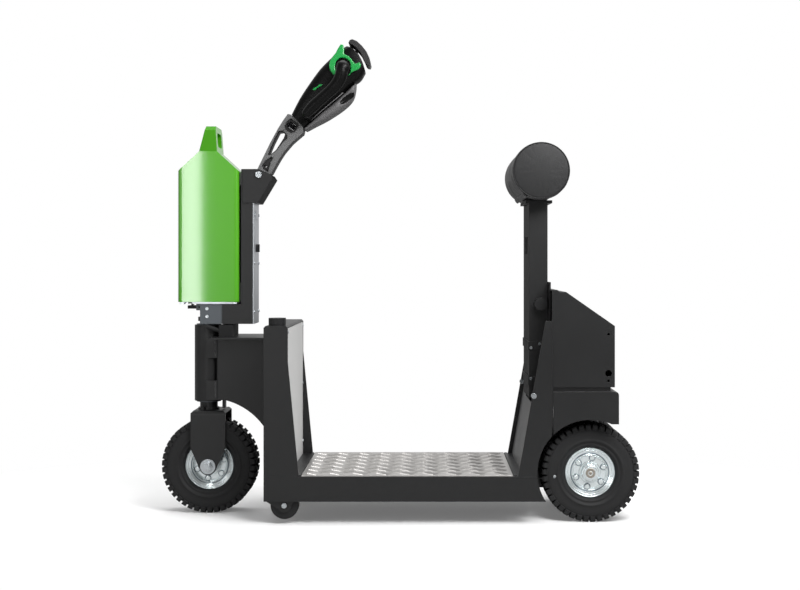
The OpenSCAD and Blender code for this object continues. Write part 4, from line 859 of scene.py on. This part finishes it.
def at_head(v, y, u):
    """A point of the tiller head as a place in the row frame."""
    c, s = math.cos(HEAD_LEAN), math.sin(HEAD_LEAN)
    return HEAD_AT + Vector((v * c + u * s, y, u * c - v * s)) * MM


def superellipse(degrees, power):
    """The two shares of a rounded square's outline at a turn."""
    shares = polar(1, degrees)
    return [math.copysign(abs(share) ** (2 / power), share) for share in shares]


def loft(sections, around, power, place, dent=None):
    """Joins rounded sections into a closed skin.

    Each is (front across, front along, back across, back along, half width, bulge).
    """
    s = Shape()
    verts = []
    for v1, u1, v2, u2, w, bulge in sections:
        for k in range(around):
            fore, out = superellipse(360 * k / around, power)
            f = (1 + fore) / 2
            y = w * out
            v, u = v2 + (v1 - v2) * f, u2 + (u1 - u2) * f + bulge * 4 * f * (1 - f)
            if dent:
                v, y, u = dent(v, y, u)
            verts.append(place(v, y, u))
    s.add(verts, closed_grid(len(sections), around))
    return s


def inset(section, by, narrower, along):
    """A section drawn in at its front, back and sides, and moved along."""
    v1, u1, v2, u2, w, bulge = section
    return v1 + by, u1 + along, v2 - by, u2 + along, w - narrower, bulge


def head_body():
    """The head's body, with a rim stepped in at its end for the cap."""
    front = [(-29, 10), (-41.5, 62), (-48.5, 116), (-52, 163), (-49.5, 203), (-47, 228), (-43, 247), (-39, 258)]
    back = [(28.5, 4), (30.5, 40), (33.5, 76), (40, 114), (45.5, 151), (48, 183), (55, 212), (51, 238)]
    width_and_bulge = [(36, 0), (36.2, 0), (40, 0), (BODY_HALF, 0), (BODY_HALF, 3), (BODY_HALF, 8),
                       (BODY_HALF, 11.5), (40.5, 13)]
    lines = [curve_through(line, HEAD_STEPS) for line in (front, back, width_and_bulge)]
    sections = [(f.x, f.y, b.x, b.y, min(BODY_HALF, w.x), max(0, w.y)) for f, b, w in zip(*lines)]
    end = sections[-1]
    for step in ((1.0, 1.0, 0.8), (4.0, 6.0, 0.8), (4.5, 6.5, 1.2), (9, 10, 2.0)):
        sections.append(inset(end, *step))
    s = loft(sections, HEAD_SIDES, HEAD_POWER, at_head)
    obj = s.piece("head_shell", MAT["head_plastic"], "tiller", "head_plastic", smooth=True)
    sharpen(obj, HEAD_SHARP)
    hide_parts("tiller_head")


def end_cap():
    """The cap over the head's end: two cheeks and a band between them, open towards the head."""
    inner = [(-37, 268.5), (-24.5, 271.5), (-12, 272.4), (7.8, 269.2), (27.1, 261.2), (38, 255.6),
             (44.5, 255.2)]
    outer = [(50, 259), (47.5, 266), (35.5, 275.2), (17.0, 283.4), (-4, 287.2), (-23, 287.6), (-36, 283.2),
             (-39.6, 276.4)]
    core = [(46, 257), (44.2, 263.2), (33.5, 271.5), (15.8, 279.4), (-4, 283.2), (-22, 283.6), (-33.4, 279.8),
            (-36.4, 273.4)]
    front_lip = [(-39.5, 276.5), (-38, 268.8), (-34.8, 268.2), (-34.5, 276)]
    back_lip = [(49.8, 259), (44.5, 255.2), (42, 257), (45, 262)]
    s = Shape()
    for side in (-1, 1):
        lo, hi = sorted((side * (CAP_HALF - CAP_CHEEK), side * CAP_HALF))
        s.flat([inner + outer], lo, hi, CAP_BEVEL, at_head)
    half = CAP_HALF - CAP_CHEEK + CAP_LAP
    for outline, bevel in ((outer + core[::-1], 0.5), (front_lip, 0.4), (back_lip, 0.4)):
        s.flat([outline], -half, half, bevel, at_head)
    for y in (-STEM_Y, STEM_Y):
        s.tube([at_head(STEM_AT, y, u) for u in STEM_ENDS], STEM_R, CAP_SIDES)
    obj = s.piece("end_cap", MAT["guard_dark"], "head_end_switch", "head_plastic", smooth=True)
    sharpen(obj, CAP_SHARP)
    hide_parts("end_switch")


def hollow(v, u):
    """How far a point of the guard is from the middle of its thumb hollow, 1 at the hollow's edge."""
    c, w = math.cos(HOLLOW_LEAN), math.sin(HOLLOW_LEAN)
    a, b = v - HOLLOW_AT[0], u - HOLLOW_AT[1]
    return ((a * c - b * w) / HOLLOW_HALF[0]) ** 2 + ((a * w + b * c) / HOLLOW_HALF[1]) ** 2


def head_under():
    """The lighter guard: a bulged shell with a hollow for the thumb, painted dark inside as shade, and a
    moulded bead on each side.
    """
    inner = [(24, 1), (29, 38), (33, 74), (38, 100), (42, 130), (46, 160), (48.5, 180), (50.5, 192)]
    outer = [(34, 3), (44.5, 30), (55.5, 57), (63.5, 80), (72.3, 112), (76.5, 141), (73.8, 163), (63, 183),
             (53.5, 196)]
    bead = [(27, 38.6, 34), (31, 39.6, 66), (36, 40.2, 98), (41, 40.4, 128), (44.5, 40, 152)]
    lines = [curve_through(line, GUARD_STEPS) for line in (inner, outer)]
    sections = []
    for i, (f, b) in enumerate(zip(*lines)):
        t = i / GUARD_STEPS
        foot = min(1, GUARD_FOOT[0] + GUARD_FOOT[1] * t)
        tip = min(1, GUARD_TIP[0] + GUARD_TIP[1] * (1 - t))
        half = GUARD_HALF * foot * tip
        sections.append((f.x, f.y, b.x, b.y, half, 0))

    def dent(v, y, u):
        return v, y * (1 - HOLLOW_SHARE * math.exp(-hollow(v, u) ** 2)), u

    s = loft(sections, GUARD_SIDES, GUARD_POWER, at_head, dent)
    obj = s.piece("head_guard_shell", MAT["guard_grey"], "tiller", "guard_grey", smooth=True)
    # Faces inside the thumb hollow, away from the middle plane, take the black plastic: painted shade in the
    # recess
    obj.data.materials.append(MAT["head_plastic"])
    turn = Matrix.Rotation(-HEAD_LEAN, 3, "Y")
    for face in obj.data.polygons:
        q = turn @ (face.center - HEAD_AT) / MM
        if hollow(q.x, q.z) < 1 and abs(q.y) > HOLLOW_FROM_Y:
            face.material_index = 1
    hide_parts("head_guard")
    for side, tag in SIDES:
        s = Shape()
        s.tube([at_head(v, side * y, u) for v, y, u in bead], BEAD_R, 10)
        s.piece("guard_bead_" + tag, MAT["guard_grey"], "tiller", "guard_grey", smooth=True)


def grip_rings():
    """The places and radii of a grip's sections, with a dome at each end."""
    stations = [(14.5, 38, 13), (15, 52, 15.6), (16, 70, 16.8), (18.5, 92, 16.4), (21.5, 117, 16.3),
                (24, 140, 16.8), (23, 160, 17.6), (18.5, 177, 19.2), (12, 190, 20.3), (6.5, 200, 19.8)]
    rings = [tuple(q) for q in curve_through(stations, GRIP_STEPS)]
    for end, sign in ((0, -1), (-1, 1)):
        v, u, r = rings[end]
        dome = [(v, u + sign * up, radius) for radius, up in [polar(r, a) for a in DOME_TURNS]]
        rings = dome[::-1] + rings if end == 0 else rings + dome
    return rings


def grips():
    """Each hand grip: a thick bowed lobe, joined to the body at both ends."""
    rings = grip_rings()
    for side, tag in SIDES:
        s = Shape()
        verts = [at_head(v + r * c, side * (GRIP_Y + GRIP_FLAT_SHARE * r * w), u)
                 for v, u, r in rings for c, w in circle(1, GRIP_SIDES)]
        s.add(verts, closed_grid(len(rings), GRIP_SIDES))
        for v, u, r in NECKS:
            neck = []
            for j in range(NECK_STEPS + 1):
                f = j / NECK_STEPS
                neck.append((r + NECK_FLARE * (2 * f - 1) ** 2, NECK_Y[0] + (NECK_Y[1] - NECK_Y[0]) * f))
            s.revolve(neck, NECK_SIDES, lambda q, v=v, u=u: at_head(v + q.x, side * q.y, u + q.z))
        obj = s.piece("grip_" + tag, MAT["head_plastic"], "tiller", "head_plastic", smooth=True)
        if side < 0:
            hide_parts("hand_grips")


def throttles():
    """Each thumb throttle: a hub ring with a crescent wing, a horn-shaped tip and a short rear tab."""
    wing = [(-49.0, 249.2), (-47.9, 241.6), (-46.5, 233.5), (-43.7, 221.7), (-43.3, 208.3), (-41.3, 196.2),
            (-36.6, 186.1), (-30.5, 179.5), (-22.8, 174.9), (-13.5, 171.9), (-6.3, 172.2), (-5.1, 176.9),
            (-9.1, 183.2), (-18.2, 190.2), (-24.0, 197.8), (-27.0, 207.2), (-25.7, 216.8), (-20.2, 224.6),
            (-10.6, 229.6), (-0.3, 229.6), (8.4, 225.2), (15.5, 218.4), (19.9, 212.1), (25.4, 208.7),
            (28.7, 215.6), (32.7, 223.9), (35.2, 231.7), (33.8, 239.8), (29.2, 245.1), (23.9, 244.7),
            (17.9, 235.4), (8.2, 236.2), (-3.6, 238.7), (-14.4, 238.2), (-23.0, 235.2), (-29.0, 241.2),
            (-35.1, 247.8), (-42.9, 253.0)]
    tab = [(8, 214), (16, 208), (21, 213), (14, 221)]
    hub = [(12.4, 43), (12.4, 48), (12.8, 48.6), (13.8, 48.6), (14.2, 48), (14.2, 43)]
    for side, tag in SIDES:
        s = Shape()
        lo, hi = sorted(side * y for y in WING_Y)
        s.flat([closed_curve(wing, 3 * len(wing))], lo, hi, WING_BEVEL, at_head)
        s.flat([tab], lo + TAB_INSET, hi - TAB_INSET, 0.5, at_head)
        s.revolve(hub, 48, lambda q: at_head(HUB_AT[0] + q.x, side * q.y, HUB_AT[1] + q.z), closed=True)
        obj = s.piece("throttle_wing_" + tag, MAT["throttle_green"], "throttle_" + tag, "throttle_green",
                      smooth=True)
        sharpen(obj, WING_SHARP)
        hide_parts(tag + "_throttle")


def scaled(points, middle, shares):
    """An outline drawn in towards a middle, by a share across and a share along."""
    return [tuple(m + (p - m) * share for p, m, share in zip(point, middle, shares)) for point in points]


def horns():
    """Each horn button: a long teardrop along the body's side, in a black surround."""
    drop = [(-30.4, 99.9), (-27.9, 107.8), (-23.3, 115.5), (-21.7, 124.3), (-18.2, 131.1), (-13.0, 133.7),
            (-10.4, 128.6), (-13.9, 121.8), (-17.3, 115.0), (-19.0, 106.1), (-22.8, 99.8), (-28.1, 98.2)]
    edge = closed_curve(drop, 4 * len(drop))
    hole = scaled(edge, HORN_MIDDLE, HORN_HOLE_SHARES)
    button = scaled(hole, HORN_MIDDLE, HORN_DROP_SHARES)
    for side, tag in SIDES:
        s = Shape()
        s.flat([button], *sorted(side * y for y in HORN_Y), 0.8, at_head)
        obj = s.piece("horn_drop_" + tag, MAT["throttle_green"], "horn_" + tag, "throttle_green", smooth=True)
        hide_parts(tag + "_horn_button")
        s = Shape()
        s.flat([edge, hole[::-1]], *sorted(side * y for y in SURROUND_Y), 0.4, at_head)
        s.piece("horn_surround_" + tag, MAT["head_plastic"], "tiller", "head_plastic", smooth=True)


horns()
head_body()
end_cap()
head_under()
grips()
throttles()

# Tiller arm, in mm across, sideways and along

PIVOT = Vector((-0.388, 0, 0.954))
ARM_LEAN = math.radians(35)
ARM_HALF = 29.8
FRAME_T = 8
CORE_HALF = 22
CORE_SHARE = 0.97
BOSS_R = 13.5
PIN_R = 5.6
HOLE_R = 4
FRAME_STEP = 1.8
WINDOW_MIDDLE = (-8, 165)
WINDOW_ROD_R = 0.0045
WINDOW_ROD = (-22, 6)
ARM_SHARP = 35
FRAME_BEVEL = 1.4
CORE_BEVEL = 0.4
CLIP_BEVEL = 0.5
CLIP_Y = (24, 27.5)


def at_arm(v, y, u):
    """A point of the tiller arm as a place in the row frame."""
    c, s = math.cos(ARM_LEAN), math.sin(ARM_LEAN)
    return PIVOT + Vector((v * c + u * s, y, u * c - v * s)) * MM


def arm():
    """The cast arm: a cored plate with a raised frame round its openings on both sides."""
    boss = [polar(BOSS_R, a) for a in range(-165, -14, 10)]
    outline = [(-13, 3), (-16.5, 12), (-21, 40), (-29, 91), (-34.6, 139), (-35.8, 168), (-35.4, 188),
               (-27, 191.5), (1, 191), (19, 184.5), (27, 176), (30.5, 167), (24.7, 145), (20, 126), (17, 92),
               (17.6, 71), (19.5, 50), (22.8, 22), (13, 3)] + boss[::-1]
    through = [(-27, 131), (-20.4, 137.6), (-9.5, 136), (-6.5, 125), (-5.2, 85), (-10, 67), (-15, 63),
               (-22.5, 97.5)]
    slot = [(-29.5, 132), (-19.2, 141.3), (-1.4, 137), (3, 129), (-1, 114.9), (-2.4, 85), (-8, 65),
            (-15.5, 60.3), (-24.6, 97.8)]
    pocket = [(-3.7, 61.5), (2, 61.8), (3.2, 48.3), (7.6, 34.1), (12.5, 22), (8, 19), (-3.3, 19.5),
              (-11.5, 25.5), (-11.5, 42.5)]
    window = [(-23.6, 169), (-18.5, 180.6), (3, 180.6), (8, 175), (8, 160), (1.5, 150.2), (-12.7, 149.2),
              (-20.6, 155.6)]
    narrow = [(-21.5, 167), (-17.5, 175.5), (0.5, 175.5), (5.5, 171), (5.5, 161), (0.5, 154.5), (-12.5, 154.5),
              (-18.5, 158)]
    clip = [(3, 166), (3, 170), (27.5, 172.5), (25.5, 166)]
    wide = [tuple(p + math.copysign(FRAME_STEP, p - m) for p, m in zip(point, WINDOW_MIDDLE))
            for point in window]
    hole = circle(HOLE_R, 18, (-3, 30))
    pin = circle(PIN_R, 24)

    s = Shape()
    for lo, hi in ((-ARM_HALF, FRAME_T - ARM_HALF), (ARM_HALF - FRAME_T, ARM_HALF)):
        s.flat([outline, slot, pocket, wide, pin], lo, hi, FRAME_BEVEL, at_arm)
    obj = s.piece("arm_frames", MAT["cast_grey"], "tiller", "cast_grey", smooth=True)
    sharpen(obj, ARM_SHARP)
    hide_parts("tiller_arm")

    s = Shape()
    core = [(v * CORE_SHARE, u) for v, u in outline]
    s.flat([core, through, hole, narrow, pin], -CORE_HALF, CORE_HALF, CORE_BEVEL, at_arm)
    s.tube([at_arm(v, 0, WINDOW_MIDDLE[1]) for v in WINDOW_ROD], WINDOW_ROD_R, 20)
    sharpen(s.piece("arm_core", MAT["guard_dark"], "tiller", "cast_grey", smooth=True), ARM_SHARP)

    s = Shape()
    for side in (-1, 1):
        s.flat([clip], *sorted(side * y for y in CLIP_Y), CLIP_BEVEL, at_arm)
    s.piece("arm_clips", MAT["guard_dark"], "tiller", "cast_grey")


arm()

# World, lights and floor

WALL_Y = (-0.9, 0.5)
WALL_LEVELS = (0.18, 0.62)
LAMPS = {
    "key": ((2.6, -2.6, 2.8), (0, 0, 0.5), (1.8, 1.8), 55),
    "top": ((0.3, 0.4, 4.0), (0, 0, 0.3), (3.6, 2.6), 115),
    "near": ((0.9, -1.5, 1.9), (0.3, 0, 0.85), (1.2, 0.8), 50),
    "fill": ((-3.0, -2.2, 1.3), (0, 0, 0.7), (1.2, 1.4), 10),
    "strip": ((-1.24, -3.5, 1.15), (-1.24, 0, 1.15), (0.12, 2.1), 13),
}
FLOOR_COLOUR = (0.97, 0.97, 0.97, 1)
STUDIO_FLOOR = (0.42, 0.42, 0.42, 1)
WHITE = (1, 1, 1, 1)
FADE_HALF = (1.35, 0.85)
FADE_FROM = 0.66
FADE_TO = 1.25
FADE_LEAST = 0.12
FLOOR_HALF = 30
FLOOR_ROUGH = 0.6
FLOOR_SPECULAR = 0.2


def mix(tree, factor, output, first, first_output, second, second_output):
    """A shader that goes from the first to the second as the factor goes from 0 to 1."""
    made = node(tree, "MixShader")
    wire(tree, factor, output, made, "Fac")
    wire(tree, first, first_output, made, 1)
    wire(tree, second, second_output, made, 2)
    return made


def studio_world():
    """The studio's walls, paler behind the machine than behind the camera; the camera sees white."""
    world = bpy.data.worlds.new("studio")
    scene.world = world
    world.use_nodes = True
    tree = world.node_tree
    walls = tree.nodes["Background"]
    walls.inputs["Strength"].default_value = 1.0
    direction = node(tree, "TexCoord")
    split = node(tree, "SeparateXYZ")
    wall = node(tree, "MapRange", {"From Min": WALL_Y[0], "From Max": WALL_Y[1],
                                   "To Min": WALL_LEVELS[0], "To Max": WALL_LEVELS[1]})
    wire(tree, direction, "Generated", split, "Vector")
    wire(tree, split, "Y", wall, "Value")
    wire(tree, wall, "Result", walls, "Color")
    white = node(tree, "Background", {"Color": WHITE, "Strength": 1.0})
    path = node(tree, "LightPath")
    both = mix(tree, path, "Is Camera Ray", walls, "Background", white, "Background")
    wire(tree, both, "Shader", tree.nodes["World Output"], "Surface")


def area(name, at, aim, size, power):
    lamp = bpy.data.lights.new(name, "AREA")
    lamp.shape = "RECTANGLE"
    lamp.size, lamp.size_y = size
    lamp.energy = power
    obj = link(bpy.data.objects.new(name, lamp))
    obj.location = at
    obj.rotation_euler = (Vector(aim) - Vector(at)).to_track_quat("-Z", "Y").to_euler()


def floor_material():
    """The camera sees a pale floor; what it throws back at the machine is a grey studio floor's light."""
    made = bpy.data.materials.new("floor")
    made.use_nodes = True
    tree = made.node_tree
    pale = tree.nodes["Principled BSDF"]
    pale.inputs["Base Color"].default_value = FLOOR_COLOUR
    pale.inputs["Roughness"].default_value = FLOOR_ROUGH
    pale.inputs["Specular IOR Level"].default_value = FLOOR_SPECULAR
    # Away from the machine the floor's own colour runs out into the white backdrop
    place = node(tree, "TexCoord")
    oval = node(tree, "VectorMath", {1: (1 / FADE_HALF[0], 1 / FADE_HALF[1], 0)}, operation="MULTIPLY")
    reach = node(tree, "VectorMath", operation="LENGTH")
    fade = node(tree, "MapRange", {"From Min": FADE_FROM, "From Max": FADE_TO, "To Min": FADE_LEAST},
                interpolation_type="SMOOTHSTEP")
    glow = node(tree, "Emission", {"Color": WHITE})
    studio = node(tree, "BsdfDiffuse", {"Color": STUDIO_FLOOR})
    path = node(tree, "LightPath")
    wire(tree, place, "Object", oval, 0)
    wire(tree, oval, "Vector", reach, 0)
    wire(tree, reach, "Value", fade, "Value")
    blend = mix(tree, fade, "Result", pale, "BSDF", glow, "Emission")
    surface = mix(tree, path, "Is Camera Ray", studio, "BSDF", blend, "Shader")
    wire(tree, surface, "Shader", tree.nodes["Material Output"], "Surface")
    return made


def add_floor():
    mesh = bpy.data.meshes.new("floor")
    corners = [(x * FLOOR_HALF, y * FLOOR_HALF, 0) for x, y in ((-1, -1), (1, -1), (1, 1), (-1, 1))]
    mesh.from_pydata(corners, [], [[0, 1, 2, 3]])
    mesh.materials.append(floor_material())
    link(bpy.data.objects.new("floor", mesh))


studio_world()
for name, lamp in LAMPS.items():
    area(name, *lamp)
add_floor()
